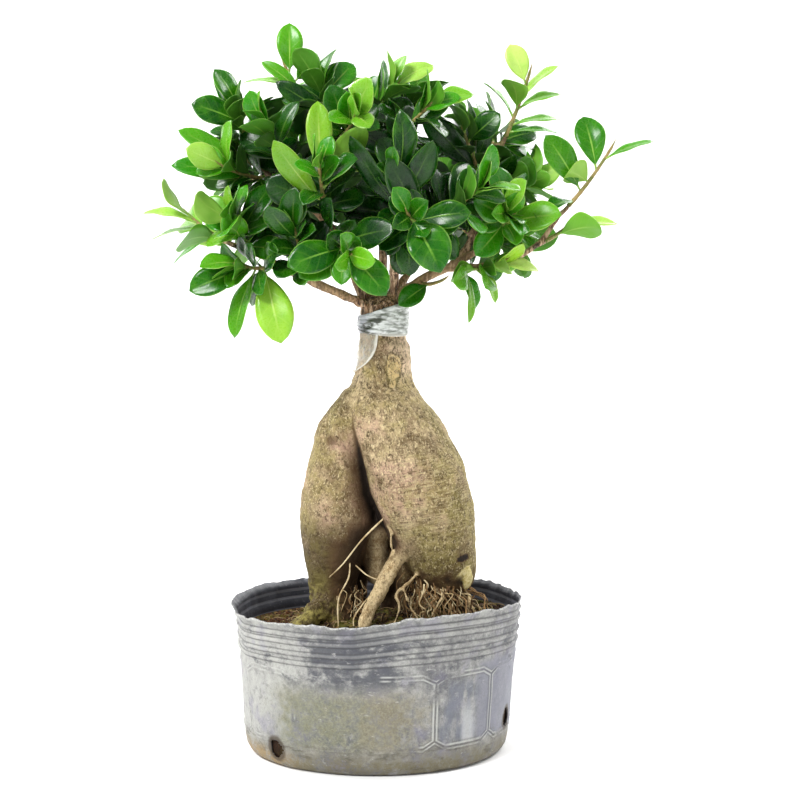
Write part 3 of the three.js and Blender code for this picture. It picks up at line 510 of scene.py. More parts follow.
# Soil
# Dark peat with bark crumbs, fibres and a little moss, filled to under the rim and higher round the roots.
# A turned body with an uneven top, then loose crumbs and fibres lying on it.
SOIL_LEVEL = 76
SOIL_LUMPS = [(1.6, 5, 17), (0.8, 15, 6), (0.5, 25, 2.4)]  # height, slice of the noise, width
SOIL_SLOPE = 0.075
SOIL_MOUND = 4
SOIL_MOUND_RADIUS = 42
LEFT_MOUND = 2.2  # over the root that creeps out at the front left
SOIL_RADIUS = 81.2
SOIL_OFF_WALL = 0.7
SOIL_BOTTOM = [(0, 2), (40, 2), (73, 2)]
SOIL_SIDE_HEIGHTS = (4.4, 8, *range(12, 74, 4))
SOIL_TOP_RINGS = 64
SOIL_TURNS = 200
CRUMBS = 2600
CRUMB_BATCH = 100
CRUMB_SMALLEST, CRUMB_LARGEST = 0.45, 1.95  # half widths
FIBRES = 260
FIBRE_STEPS = 5
FIBRE_SIDES = 4


def soil_height(x, y):
    """Top of the soil."""
    level = SOIL_LEVEL + SOIL_SLOPE * x + SOIL_MOUND * math.exp(-((x * x + y * y) / SOIL_MOUND_RADIUS ** 2))
    level += noise_sum(x, y, SOIL_LUMPS)
    left_mound = math.exp(-(((x + 40) / 17) ** 2 + ((y + 16) / 16) ** 2))
    return level + LEFT_MOUND * left_mound


def soil_reach(x, y, height):
    """How far out the soil may come at a height: up to the inside of the dented wall."""
    degrees = math.degrees(math.atan2(x, -y))
    level = height - smooth_step(*POT_RIM_EASE, height) * (rim_height(degrees) - POT_HEIGHT)
    out = plain_radius(level) / math.hypot(x, y)
    wall = shape_wall(Vector((x * out, y * out, level)))
    return math.hypot(wall.x, wall.y) - POT_FILM - SOIL_OFF_WALL


def soil_finish():
    peat = Finish("damp_peat")
    lump = peat.grain(7, detail=4, rough=0.65)
    fine = peat.grain(1.3, detail=3, rough=0.7, shift=3)
    peat.colour = peat.mix((lump * 0.7 + fine * 0.5).between(0.4, 0.85), (20, 14, 10), (72, 50, 30))
    chip = peat.node("ShaderNodeSeparateColor", sockets=[peat.cells(2.2)])
    peat.lay(chip.between(0.84, 0.92) * 0.6, (142, 112, 66))
    moss = (peat.grain(11, detail=4, rough=0.7, shift=12) + fine * 0.2).between(0.56, 0.7)
    peat.lay(moss * 0.75, (86, 86, 30))
    rusty = peat.axis("X").between(-0.035, -0.055) * fine.between(0.45, 0.6)
    peat.lay(rusty * 0.5, (98, 48, 22))
    # Packed and wet low in the pot, where only the drain holes show it
    peat.lay(peat.axis("Z").between(0.066, 0.05) * 0.8, (40, 29, 20))
    return peat.coat(Base_Color=peat.colour, Roughness=0.95, Specular_IOR_Level=0.2,
                     Normal=peat.bump(fine * 0.6 + lump * 0.4, 0.9))


soil_material = soil_finish()
soil_side = [(wall_radius(height) - POT_FILM - 0.35, height) for height in SOIL_SIDE_HEIGHTS]
soil_top = [(radius, SOIL_LEVEL) for radius in np.linspace(SOIL_RADIUS, 0, SOIL_TOP_RINGS)]
soil_shape = spun(SOIL_BOTTOM + soil_side + soil_top, SOIL_TURNS)
for vert in soil_shape.verts:
    radius = math.hypot(vert.co.x, vert.co.y)
    if vert.co.z > SOIL_LEVEL - 0.5:
        level = soil_height(vert.co.x, vert.co.y)
        edge = smooth_step(SOIL_RADIUS - 6, SOIL_RADIUS, radius)
        vert.co.z = level + edge * (SOIL_LEVEL + SOIL_SLOPE * vert.co.x - 1 - level)
    if vert.co.z > 3 and radius > SOIL_RADIUS - 12:
        vert.co.xy *= min(1, soil_reach(*vert.co) / radius)
piece_from(soil_shape, "soil_body", "soil", ["soil"], soil_material)


def repeated(mesh, count):
    """A bmesh with that many copies of a mesh, one after another in its list of vertices."""
    shape = bmesh.new()
    for _ in range(count):
        shape.from_mesh(mesh)
    shape.verts.ensure_lookup_table()
    return shape


def scattered(draw, reach):
    """A place as likely as any other within reach of the pot's axis."""
    radius = reach * math.sqrt(draw())
    angle = 2 * math.pi * draw()
    return radius * math.cos(angle), radius * math.sin(angle)


round_crumb = bmesh.new()
bmesh.ops.create_icosphere(round_crumb, subdivisions=1, radius=1)
crumb_mesh = mesh_of(round_crumb, "crumb")
crumb_draw = seeded_draws(41)
crumbs = bmesh.new()
batch_mesh = bpy.data.meshes.new("crumbs")
for _ in range(CRUMBS // CRUMB_BATCH):
    batch = repeated(crumb_mesh, CRUMB_BATCH)
    for i in range(CRUMB_BATCH):
        x, y = scattered(crumb_draw, SOIL_RADIUS - 3)
        size = blend(CRUMB_SMALLEST, CRUMB_LARGEST, crumb_draw() ** 3)
        turn = Matrix.Rotation(6.3 * crumb_draw(), 3, "Z") @ Matrix.Rotation(6.3 * crumb_draw(), 3, "X")
        flat = Matrix.Diagonal((size, size * (0.6 + 0.4 * crumb_draw()), size * (0.5 + 0.4 * crumb_draw())))
        middle = Vector((x, y, soil_height(x, y) + 0.2 * size))
        corners = len(crumb_mesh.vertices)
        for vert in batch.verts[i * corners:(i + 1) * corners]:
            rough = 1 + 0.25 * noise_at(vert.co.x + x, vert.co.y + y, vert.co.z, 0.9)
            vert.co = turn @ flat @ vert.co * rough + middle
    batch.to_mesh(batch_mesh)
    batch.free()
    crumbs.from_mesh(batch_mesh)
piece_from(crumbs, "soil_crumbs", "soil", (), soil_material)


def shares(steps):
    """From 0 to 1 in even steps."""
    return [step / steps for step in range(steps + 1)]


def tubes(paths, sides):
    """A bmesh of round tubes with closed ends: each path is a list of points with the radius there."""
    line = bpy.data.curves.new("tubes", "CURVE")
    line.dimensions = "3D"
    line.bevel_depth = 1
    line.bevel_resolution = (sides - 4) // 2
    line.use_fill_caps = True
    for path in paths:
        spline = line.splines.new("POLY")
        spline.points.add(len(path) - 1)
        for point, (place, radius) in zip(spline.points, path):
            point.co = (*place, 1)
            point.radius = radius
    holder = bpy.data.objects.new("tubes", line)
    shape = bmesh.new()
    shape.from_mesh(holder.to_mesh())
    holder.to_mesh_clear()
    bpy.data.objects.remove(holder)
    bpy.data.curves.remove(line)
    return sealed(shape, 0.0005)


fibre_draw = seeded_draws(43)
fibres = []
for _ in range(FIBRES):
    x, y = scattered(fibre_draw, SOIL_RADIUS - 4)
    way = 2 * math.pi * fibre_draw()
    length, bow, lift = 4 + 12 * fibre_draw(), 3 * (fibre_draw() - 0.5), 1.6 * fibre_draw()
    path = []
    for share in shares(FIBRE_STEPS):
        bend = bow * math.sin(math.pi * share)
        px = x + length * (share - 0.5) * math.cos(way) - bend * math.sin(way)
        py = y + length * (share - 0.5) * math.sin(way) + bend * math.cos(way)
        inside = min(1, (SOIL_RADIUS - 1.5) / math.hypot(px, py))
        px, py = px * inside, py * inside
        level = soil_height(px, py) + 0.1 + lift * math.sin(math.pi * share)
        path.append(((px, py, level), 0.16 + 0.14 * (1 - share)))
    fibres.append(path)
fibre = Finish("dry_fibre")
fibre.coat(Base_Color=fibre.mix(fibre.grain(9), (168, 148, 104), (98, 72, 44)), Roughness=0.85)
piece_from(tubes(fibres, FIBRE_SIDES), "soil_fibres", "soil", (), fibre.material)

# Rootstock
# The swollen roots of a seedling fig, lifted out of the soil, under a cut neck, with a sawn root at the right
# and thin roots between the legs. Its grey-brown bark has wrinkles, corky specks, pink and green tinges.
# Smooth bodies through the same stations as the solid, welded into one skin, then wrinkled.
NECK_TOP = 258
# Stations of the three upright bodies: middle x, y and z, half width and half depth
RIGHT_TUBER = [
    (42, 0, 93, 9, 9), (41.5, 0, 97, 15.5, 15), (40, -1, 106, 20.5, 20.5), (36.5, -2, 118, 24, 25),
    (33.5, -3, 129, 26.5, 28), (29.5, -4, 142, 29.6, 30.5), (25.6, -4, 157, 30.6, 31),
    (22, -4, 172, 30.4, 30), (16.6, -3, 187, 28.4, 27.5), (11.6, -2, 201, 25.4, 24.5), (5, -1, 212, 23, 21),
    (4, 0, 220, 19, 18.6), (4.6, 0, 228, 16.4, 16.6), (5.4, 0, 240, 15.6, 15.8), (4.8, 0, 245, 14.8, 14.8),
    (4.3, 0, 248, 14, 14), (4.3, 0, NECK_TOP, 14, 14),
]
LEFT_TUBER = [
    (-26, 2, 62, 9, 10), (-26, 1, 76, 14.5, 15), (-26, 2, 88, 13.6, 14), (-26.4, 3, 98, 14.4, 15),
    (-25.8, 4, 110, 17, 18.5), (-24.8, 5, 122, 20, 22.5), (-23.4, 5, 135, 22.6, 25.5),
    (-22.2, 5, 150, 23, 26.5), (-20.8, 5, 165, 22, 25.5), (-18, 4, 178, 21.6, 23.5), (-15, 2, 191, 21.4, 21),
    (-11, 1, 203, 18.5, 18), (-4.5, 0, 216, 14.5, 15),
]
MIDDLE_TUBER = [
    (1, 9, 97, 4, 5), (0.5, 9, 102, 7, 8), (0, 9, 114, 8.4, 10), (0.5, 8, 128, 8.6, 11), (3, 6, 144, 9, 12),
]
TUBER_SIDES = 48
TUBER_RING = 2.5
# Roots: half thickness at the start and the end, then points from the tuber outwards
ROOTS = [
    (5.6, 3.2, [(17, -12, 124), (10, -19, 112), (2, -25, 98), (-6, -31, 82), (-9, -33, 66)]),
    (5.8, 5.4, [(44, -4, 107), (51, -9, 104.5), (55.5, -14.5, 102.5)]),
    (8, 5, [(40, 8, 104), (43, 14, 88), (46, 20, 66)]),
    (7, 4, [(46, -2, 101), (50, 0, 86), (55, 2, 66)]),
    (8, 4.5, [(-29, -2, 92), (-36, -14, 83), (-46, -26, 76), (-52, -33, 69)]),
    (8, 4.5, [(-28, 6, 90), (-32, 18, 82), (-36, 30, 70)]),
    (5.5, 3.2, [(-9, 16, 122), (-9, 17, 100), (-11, 20, 68)]),
    (7.5, 5, [(24, 12, 116), (17, 16, 98), (14, 20, 66)]),
    (5, 4, [(10, 9, 142), (8.5, 13, 118), (7, 16, 96), (5, 19, 68)]),
]
THIN_ROOTS = [
    (1.1, [(8, -17, 140), (9, -20, 128), (10, -18, 116)]),
    (1.3, [(26, -14, 108), (19, -22, 102), (12, -26, 96), (14, -28, 88), (8, -31, 72)]),
    (1.0, [(16, -24, 101), (20, -28, 90), (25, -30, 82), (29, -31, 72)]),
    (1.15, [(36, -14, 98), (42, -18, 92), (45, -20, 84), (47, -21, 73)]),
    (1.05, [(43, -10, 98), (38, -20, 91), (33, -22, 82), (31, -24, 73)]),
    (1.1, [(52, -6, 99), (56, -12, 92), (55, -16, 82), (57, -17, 73)]),
]
# The finest of them are hairs: two hang free across the hollow between the legs
FREE_ROOTS = [
    (0.55, [(7, -12, 142), (-8, -18, 128), (-20, -20, 113), (-31, -9, 101)]),
    (0.6, [(-16, -4, 119), (-16, -19, 106), (-22, -25, 93), (-22, -28, 74)]),
    (0.45, [(-12, -16, 112), (-5, -22, 107), (3, -25, 104), (6, -24, 101)]),
    (0.5, [(-2, -20, 96), (-8, -27, 90), (-13, -29, 82), (-12, -31, 74)]),
]
THICK_ROOT_SIDES = 16
THIN_ROOT_SIDES = 10
BARK_VOXEL = 0.95
# The sawn root: the middle of its cut, the way it points, the way across it, and how far its oval end reaches
STUB_END = Vector((55.5, -14.5, 102.5))
STUB_WAY = Vector((4.5, -5.5, -1.5)).normalized()
STUB_SIDE = Vector((5.5, 4.5, 0)).normalized()
STUB_REACH = 10
# Across and up: a dark notch at the right edge, and a knot on the left shoulder
NOTCH = (51.6, 117)
KNOT = (-26.5, 187)
# Where the right tuber folds over the left one, seen from the front: height, place across, depth of the fold
FOLD = [(118, 10, 0), (131, 6.5, 3), (142, 2.5, 5), (154, -3.6, 7), (169, -6.6, 7), (182, -9.6, 5.5),
        (195, -13.2, 3.6), (208, -13.4, 1.8), (216, -12, 0)]
# Knobs and pits of the neck and the tubers: middle, width, and how far they stand out
KNOBS = [
    ((9, -15.5, 229), 6, 1.6), ((2, -17, 224), 5, 1.2), ((15, -13, 236), 5, 1.8), ((19, -9, 233), 6, 1.6),
    ((4, -16, 234), 3.5, 1.0), ((12, -15, 243), 4, 1.1), ((-9, -9, 238), 5, 1.0), ((-24, -20, 198), 8, 1.2),
    ((6, -16.5, 231), 1.8, -1.9), ((13.5, -14.5, 229), 1.7, -1.8), ((15.5, -13.5, 219), 2.0, -1.9),
    ((18.6, -12, 222), 1.6, -1.6), ((-27, -18, 186), 3.4, -1.8), ((-27, -18, 186), 6.5, 1.6),
    ((52, -14, 117), 3.4, -3.6), ((30, -34, 150), 16, 0.6), ((-24, -21, 150), 14, 0.7),
]


def smooth_point(points, place):
    """A point of the smooth curve through all the points; place runs from 0 to 1."""
    last = len(points) - 1
    span = min(int(place * last), last - 1)
    share = place * last - span
    first, final = points[0], points[last]
    before = points[span - 1] if span else [2 * a - b for a, b in zip(first, points[1])]
    after = points[span + 2] if span + 2 <= last else [2 * a - b for a, b in zip(final, points[last - 1])]
    found = []
    for a, b, c, d in zip(before, points[span], points[span + 1], after):
        leave, arrive = 0.5 * (c - a), 0.5 * (d - b)
        found.append(b + leave * share + (3 * (c - b) - 2 * leave - arrive) * share ** 2
                     + (2 * (b - c) + leave + arrive) * share ** 3)
    return np.array(found)


def column(stations, sides):
    """A closed upright body through oval stations of x, y, z, half width and half depth."""
    rings = round((stations[-1][2] - stations[0][2]) / TUBER_RING)
    shape = bmesh.new()
    bmesh.ops.create_grid(shape, x_segments=sides, y_segments=rings, size=0.5)
    for vert in shape.verts:
        turn = 2 * math.pi * vert.co.x
        x, y, z, half_width, half_depth = smooth_point(stations, min(max(vert.co.y + 0.5, 0), 1))
        vert.co = (x + half_width * math.cos(turn), y + half_depth * math.sin(turn), z)
    bmesh.ops.remove_doubles(shape, verts=shape.verts, dist=0.001)
    bmesh.ops.holes_fill(shape, edges=shape.edges, sides=0)
    bmesh.ops.recalc_face_normals(shape, faces=shape.faces)
    return shape


def root_path(start_radius, end_radius, points, steps, swelling, seed):
    """The path of a root's tube: it tapers, and swells and shrinks by a share of its thickness."""
    path = []
    for share in shares(steps):
        place = smooth_point(points, share)
        radius = blend(start_radius, end_radius, share) * (1 + swelling * noise_at(*place, 7 + seed % 3))
        path.append((place, radius))
    return path


def welded(shapes, voxel, rounds):
    """Overlapping closed bodies grown together into one skin, and smoothed."""
    whole = bpy.data.meshes.new("welding")
    together = bmesh.new()
    for shape in shapes:
        shape.to_mesh(whole)
        together.from_mesh(whole)
        shape.free()
    together.to_mesh(whole)
    together.free()
    holder = bpy.data.objects.new("welding", whole)
    bpy.context.scene.collection.objects.link(holder)
    remesh = holder.modifiers.new("weld", "REMESH")
    remesh.mode = "VOXEL"
    remesh.voxel_size = voxel
    skin = bmesh.new()
    skin.from_object(holder, bpy.context.evaluated_depsgraph_get())
    bpy.data.objects.remove(holder)
    bpy.data.meshes.remove(whole)
    for _ in range(rounds):
        bmesh.ops.smooth_vert(skin, verts=skin.verts, factor=0.5, use_axis_x=True, use_axis_y=True,
                              use_axis_z=True)
    return skin


bodies = [column(stations, TUBER_SIDES) for stations in (RIGHT_TUBER, LEFT_TUBER, MIDDLE_TUBER)]
thick = [root_path(start, end, points, 20, 0.16, i) for i, (start, end, points) in enumerate(ROOTS)]
thin = [root_path(radius, radius * 0.8, points, 24, 0.25, i) for i, (radius, points) in enumerate(THIN_ROOTS)]
bodies += [tubes(thick, THICK_ROOT_SIDES), tubes(thin, THIN_ROOT_SIDES)]
bark = welded(bodies, BARK_VOXEL, 3)
bark.normal_update()


def from_fold(x, z):
    """How far a point lies right of the fold, and how deep the fold is at its height."""
    heights, places, depths = zip(*FOLD)
    return x - float(np.interp(z, heights, places)), float(np.interp(z, heights, depths))


for vert in bark.verts:
    x, y, z = vert.co
    # Broad swellings, weaker on the roots, then cross wrinkles, strongest in a band on the right tuber
    on_tuber = smooth_step(104, 120, z) if x > 10 else smooth_step(92, 104, z)
    wide = min(1, 0.25 + on_tuber)
    out = 1.1 * wide * noise_at(x, y, z, 21) + 0.6 * wide * noise_at(x + 50, y, z, 9)
    wrinkle = noise_at(x * 0.32, y * 0.32, z * 1.5 + 6 * noise_at(x, y, z, 30), 3.4)
    banded = smooth_step(4, 14, x) * smooth_step(128, 142, z) * smooth_step(186, 172, z)
    out += (0.08 + 0.16 * on_tuber + 0.2 * banded) * wrinkle - 0.3 * on_tuber * max(0, wrinkle) ** 2
    # Fine grain, coarser on the neck, and lumps on the roots where they leave the tubers
    out += (0.2 + 0.2 * smooth_step(205, 222, z)) * noise_at(x, y, z, 2.4)
    out += 0.7 * smooth_step(203, 225, z) * noise_at(x, y, z, 5.5)
    out += 0.32 * on_tuber * noise_at(x, y, z * 0.8, 4.4)
    lumpy = smooth_step(108, 92, z) * (1 + smooth_step(-20, -34, x))
    if y < -14 and x < 20:
        out += 0.5 * smooth_step(124, 116, z) * noise_at(x, y, z, 3)
    out += lumpy * (0.9 * noise_at(x, y, z, 6) + 0.5 * noise_at(x, y, z, 2.6))
    for (kx, ky, kz), width, height in KNOBS:
        away = ((x - kx) ** 2 + (y - ky) ** 2 + (z - kz) ** 2) / width ** 2
        if away < 4:
            out += height * math.exp(-2.2 * away)
    out *= 1 - smooth_step(246, 252, z)  # smooth under the tape
    # The right tuber folds over the left one
    place = vert.co + vert.normal * out
    aside, depth = from_fold(x, z)
    if depth and y < 8 and vert.normal.y < 0.3:
        sunk = smooth_step(2.0, -1.2, aside) * smooth_step(-13, -2.5, aside)
        raised = smooth_step(-0.5, 2.0, aside) * smooth_step(11, 4, aside) * smooth_step(168, 184, z)
        place.y += depth * sunk - 2.4 * raised * smooth_step(216, 204, z)
    # The sawn root ends in an upright oval
    from_end = Vector((x, y, z)) - STUB_END
    if from_end.length < STUB_REACH:
        near = smooth_step(STUB_REACH, 6, from_end.length) * smooth_step(-5, -2, from_end.dot(STUB_WAY))
        place += near * (Vector((0, 0, 0.3 * from_end.z)) - 0.3 * from_end.dot(STUB_SIDE) * STUB_SIDE)
    vert.co = place

OCHRE_PATCH = (0.0105, 0.228, 0.0045, 0.0095)  # its middle across and up, its half width and half height


def bark_finish():
    skin = Finish("fig_bark")
    across, height = skin.axis("X"), skin.axis("Z")
    patch = skin.grain(30, (1, 1, 1.3), 3, 0.55)
    cloud = skin.grain(12, (1, 1, 0.8), 4, 0.65, shift=7)
    fine = skin.grain(2.2, (1.1, 1.1, 1.3), 5, 0.8, warp=0.6, shift=3)
    dots = skin.grain(1.1, (1, 1, 1.6), 3, 0.75, warp=0.8, shift=13)
    lines = skin.grain(1.3, (5, 5, 0.8), 3, 0.55, warp=0.5, shift=21, tilt=0.16)
    skin.colour = skin.mix((patch * 0.5 + cloud * 0.7).between(0.44, 0.74), (106, 87, 58), (188, 166, 130))
    pink = skin.grain(24, (1, 1, 1.4), 3, 0.55, shift=40) + cloud * 0.35 - abs(across + 0.01) * 3
    pink = pink.between(0.52, 0.76) * height.between(0.215, 0.19) * height.between(0.112, 0.135)
    pink = pink.most(height.between(0.23, 0.246) * 0.8)
    skin.lay(pink * 0.8, (196, 160, 138))
    green = skin.grain(19, detail=4, rough=0.6, shift=55) + cloud * 0.3 + abs(across - 0.004) * 4.5
    green = green.between(0.64, 0.92)
    green = (green + height.between(0.128, 0.096) * 0.5 + height.between(0.2, 0.22) * 0.25).least(1)
    skin.lay(green * 0.65, (124, 114, 56))
    crust = height.between(0.203, 0.222) * (cloud * 1.3 + patch * 0.3 + across * 6).between(0.84, 1.0)
    skin.lay(crust * height.between(0.246, 0.236) * 0.6, (190, 166, 108))
    # Painted shade, darker towards the foot of the tubers
    skin.lay(height.between(0.14, 0.106) * 0.6, (98, 82, 46))
    # The neck: paler and pink at its sides, with an ochre patch of old crust right of its middle
    neck = height.between(0.214, 0.232)
    sides = abs(across - 0.0005).between(0.004, 0.0115) * (cloud + 0.3).between(0.5, 0.9)
    skin.lay(neck * sides * 0.9, (234, 206, 176))
    middle = abs(across - 0.0005).between(0.0075, 0.002) * height.between(0.205, 0.222)
    skin.lay(middle * 0.55, (122, 98, 68))
    patch_x, patch_z, half_width, half_height = OCHRE_PATCH
    aside, up = (across - patch_x) / half_width, (height - patch_z) / half_height
    from_patch = aside * aside + up * up + (cloud - 0.5) * 4 + across.between(0.05, 0.06)
    front = skin.axis("Y").between(0, -0.004)
    crusty = from_patch.between(1.4, 0.5) * front * (cloud + fine * 0.5).between(0.5, 0.75)
    skin.lay(crusty * 0.85, (216, 188, 128))
    rim = abs(from_patch - 1.15).between(0.35, 0.1) * (fine + cloud * 0.6).between(0.66, 0.8) * front
    skin.lay(rim * 0.85, (58, 40, 22))
    skin.lay(fine.between(0.54, 0.36) * 0.9, (62, 46, 28))
    skin.lay(dots.between(0.52, 0.66) * 0.7, (230, 212, 166))
    # Slanting strokes of lighter and darker cork on the shoulders
    strokes = skin.grain(1.9, (1, 1, 4.2), 4, 0.7, warp=0.5, shift=17, tilt=0.5)
    shoulder = height.between(0.155, 0.18)
    skin.lay(strokes.between(0.55, 0.7) * shoulder * 0.55, (226, 206, 162))
    skin.lay(strokes.between(0.45, 0.33) * shoulder * 0.55, (76, 58, 36))
    # Pale corky dashes in bands across the right tuber, and a few elsewhere
    banded = across.between(0.002, 0.012) * height.between(0.125, 0.14) * height.between(0.192, 0.175)
    dashes = lines.between(0.54, 0.66) * (cloud.between(0.45, 0.65) * 0.35 + banded * 0.75).least(1)
    skin.lay(dashes * 0.7, (200, 184, 138))
    skin.lay(lines.between(0.44, 0.34) * (0.15 + banded * 0.55), (88, 68, 42))
    # Broken dark cracks on the neck
    cracks = skin.grain(4.5, (0.7, 0.7, 1.5), 4, 0.75, warp=1.4, shift=31).between(0.43, 0.37)
    skin.lay(height.between(0.2, 0.22) * cracks * 0.85, (52, 38, 22))
    low = height.between(0.112, 0.084)
    skin.lay(low * (fine + cloud * 0.7).between(0.6, 1.0) * 0.85, (62, 48, 26))
    # Painted shade over the lower left leg, mottled
    leg_shade = across.between(0.006, -0.006) * height.between(0.146, 0.124) * cloud.between(0.25, 0.55)
    skin.lay(leg_shade * 0.8, (58, 46, 24))
    moss = low * across.between(-0.016, -0.034) + green * 0.3
    moss = moss * (cloud * 0.7 + fine * 0.5).between(0.52, 0.72)
    skin.lay(moss * 0.75, (164, 154, 84))
    skin.lay(low * dots.between(0.5, 0.4) * 0.5, (46, 42, 18))
    # Pale peeled roots, and painted light on the front of the small tuber in the hollow
    peeled_and_lit_tone = skin.mix((dots * 0.6 + cloud * 0.5).between(0.42, 0.66), (148, 122, 82), (222, 200, 156))
    peeled_and_lit_tone = skin.mix(fine.between(0.47, 0.36) * 0.75, peeled_and_lit_tone, (84, 62, 38))
    skin.lay(skin.attribute("pale_root_and_painted_light"), peeled_and_lit_tone)
    shaded = skin.attribute("shaded")
    skin.lay(shaded.between(0, 0.55) * (0.5 + 0.5 * fine), (84, 58, 36))
    skin.lay(shaded.between(0.35, 1) * (0.8 + 0.3 * fine), (24, 15, 8))
    skin.lay(skin.attribute("sawn"), skin.mix(fine.between(0.35, 0.6), (192, 172, 92), (242, 228, 172)))
    relief = fine * 0.6 + dashes * 0.35 + dots * 0.3
    return skin.coat(Base_Color=skin.colour, Roughness=0.8, Specular_IOR_Level=0.3,
                     Normal=skin.bump(relief, 1.0))


# How shaded, sawn or peeled the bark is at each point, with painted light on the small tuber in the hollow
shaded, sawn, pale_root_and_painted_light = point_values(bark, "shaded", "sawn", "pale_root_and_painted_light")
thin_points = [Vector(place) for path in thin for place, _ in path]
front_root = [Vector(place) for place, _ in thick[0]]
thin_places = KDTree(len(thin_points))
for i, place in enumerate(thin_points):
    thin_places.insert(place, i)
thin_places.balance()
bark.normal_update()
for vert in bark.verts:
    x, y, z = vert.co
    aside, depth = from_fold(x, z)
    # The fold's shadow, wide at the foot and a thin line at the neck
    facing = smooth_step(12, -2, y)
    width = float(np.interp(z, (125, 160, 185, 205), (10, 5, 2.4, 1.2)))
    fold = 0.55 * smooth_step(-1.3 * width, -0.2 * width, aside)
    fold += 0.62 * smooth_step(-3 * width - 6, 0, aside) * smooth_step(196, 172, z)
    fold *= smooth_step(1.4, -0.2, aside) * smooth_step(210, 194, z)
    fold *= 1 - 0.6 * smooth_step(140, 124, z) * smooth_step(-7, -1, aside)
    # The hollow between the legs, without the front of the small tuber in it
    between_legs = smooth_step(-24, -14, x) * smooth_step(20, 11, x) * smooth_step(148, 130, z)
    leg_side = 0.9 * smooth_step(-38, -17, x) * smooth_step(-8, -16, x) * smooth_step(139, 122, z)
    between_legs = max(between_legs, leg_side * smooth_step(84, 96, z))
    on_middle = math.exp(-((x - 1.3) / 6.5) ** 2) * smooth_step(92, 102, z) * smooth_step(136, 128, z)
    on_middle *= smooth_step(0, -0.4, vert.normal.y) * smooth_step(-8, -5, y)
    between_legs *= smooth_step(-26, -16, y) * smooth_step(28, 12, y) * (0.95 - 0.9 * on_middle)
    # The underside of the right tuber
    under = smooth_step(115, 99, z + 7 * noise_at(x, y, z, 6)) * smooth_step(14, 20, x)
    under *= smooth_step(1.3, 0.8, abs(x - 36) / 22)
    fold = max(fold, 0.16 * smooth_step(2, -2, aside) * smooth_step(208, 190, z))
    hidden = max(fold * facing, 0.8 * between_legs, 0.85 * under * (0.75 + 0.5 * noise_at(x, y, z, 5)))
    notch = ((x - NOTCH[0]) / 3.4) ** 2 + ((z - NOTCH[1] - 0.2 * (x - NOTCH[0])) / 2.4) ** 2
    notch = smooth_step(1.5, 0.6, notch + 0.7 * noise_at(x, y, z, 1.6)) * smooth_step(-4, -8, y)
    # The thin roots and the front root are peeled and pale, and the front of the small tuber in the hollow is
    # painted light
    near_thin = thin_places.find(vert.co)[2]
    near_front = min((vert.co - place).length for place in front_root) if y < -12 and z < 122 else 20
    on_front_root = smooth_step(8, 6, near_front) * smooth_step(122, 113, z)
    vert[pale_root_and_painted_light] = max(smooth_step(2.3, 1.5, near_thin), on_front_root, 0.9 * on_middle)
    knot = smooth_step(5.5, 1.5, math.hypot(x - KNOT[0], z - KNOT[1])) * smooth_step(-4, -8, y)
    vert[shaded] = max(min(1, hidden) * (1 - 0.9 * vert[pale_root_and_painted_light]), notch, 0.5 * knot)
    from_end = vert.co - STUB_END
    at_stub = from_end.length < STUB_REACH
    vert[sawn] = smooth_step(-1.7, -0.6, from_end.dot(STUB_WAY)) if at_stub else 0
neck_skin = BVHTree.FromBMesh(bark)
piece_from(bark, "rootstock", "bark", ["caudex"], bark_finish())

# The hair roots that hang and creep between the legs and under the right tuber, most of them dark
HAIR_ROOTS = 150
PALE_HAIRS = 0.3
UNDER_RIGHT_SHARE = 0.7
UNDER_RIGHT = (36, -3, 99, 20)  # the middle of the tuber's foot, and how far the hairs spring from it
UNDER_LEFT = (-22, 1, 94, 14)
HAIR_FAN = 230  # degrees, with the front in its middle
HAIR_SWAY = 7.5
HAIR_DEPTH = 1.5  # of the end in the soil
HAIR_SIDES = 6
HAIR_TONES = {"dark": ((70, 47, 28), (160, 127, 84)), "pale": ((172, 146, 102), (230, 212, 170))}
hair_draw = seeded_draws(77)
free_hairs = [root_path(radius, radius * 0.7, points, 30, 0.3, 2) for radius, points in FREE_ROOTS]
hairs = {"dark": [], "pale": free_hairs}
for i in range(HAIR_ROOTS):
    under_right = hair_draw() < UNDER_RIGHT_SHARE
    kind = "pale" if hair_draw() < PALE_HAIRS else "dark"
    *middle, spread = UNDER_RIGHT if under_right else UNDER_LEFT
    way = math.radians(-90 + HAIR_FAN * (hair_draw() - 0.5))
    start = np.array([middle[0] + spread * math.cos(way) * (0.4 + 0.6 * hair_draw()),
                      middle[1] + spread * 0.8 * math.sin(way) * (0.6 + 0.4 * hair_draw()),
                      middle[2] - 3 + 10 * hair_draw()])
    drift = 16 * hair_draw() ** 2 if under_right else -6 * hair_draw()
    end = start + np.array([math.cos(way) * (2 + 8 * hair_draw()) + drift + 9 * (hair_draw() - 0.5),
                            math.sin(way) * (2 + 8 * hair_draw()), 0])
    end[2] = soil_height(end[0], end[1]) - HAIR_DEPTH
    points = [start]
    for share in (0.2, 0.4, 0.6, 0.8):
        sway = np.array([hair_draw() - 0.5, hair_draw() - 0.5, 0.8 * (hair_draw() - 0.4)]) * HAIR_SWAY
        points.append(start + (end - start) * share + sway * math.sin(math.pi * share))
    points.append(end)
    for point in points:
        point[:2] *= min(1, (SOIL_RADIUS - 4) / math.hypot(point[0], point[1]))
    thickness = 0.25 + (0.3 if kind == "pale" else 0.6) * hair_draw() ** 2
    hairs[kind].append(root_path(thickness, thickness * 0.5, points, 18, 0.35, i))
for kind, tones in HAIR_TONES.items():
    hair = Finish(f"{kind}_hair_roots")
    hair.colour = hair.mix(hair.grain(9, detail=4, rough=0.7).between(0.35, 0.62), *tones)
    hair.coat(Base_Color=hair.colour, Roughness=0.8, Specular_IOR_Level=0.3,
              Normal=hair.bump(hair.grain(0.9), 0.25))
    piece_from(tubes(hairs[kind], HAIR_SIDES), f"{kind}_hair_roots", "bark", (), hair.material)

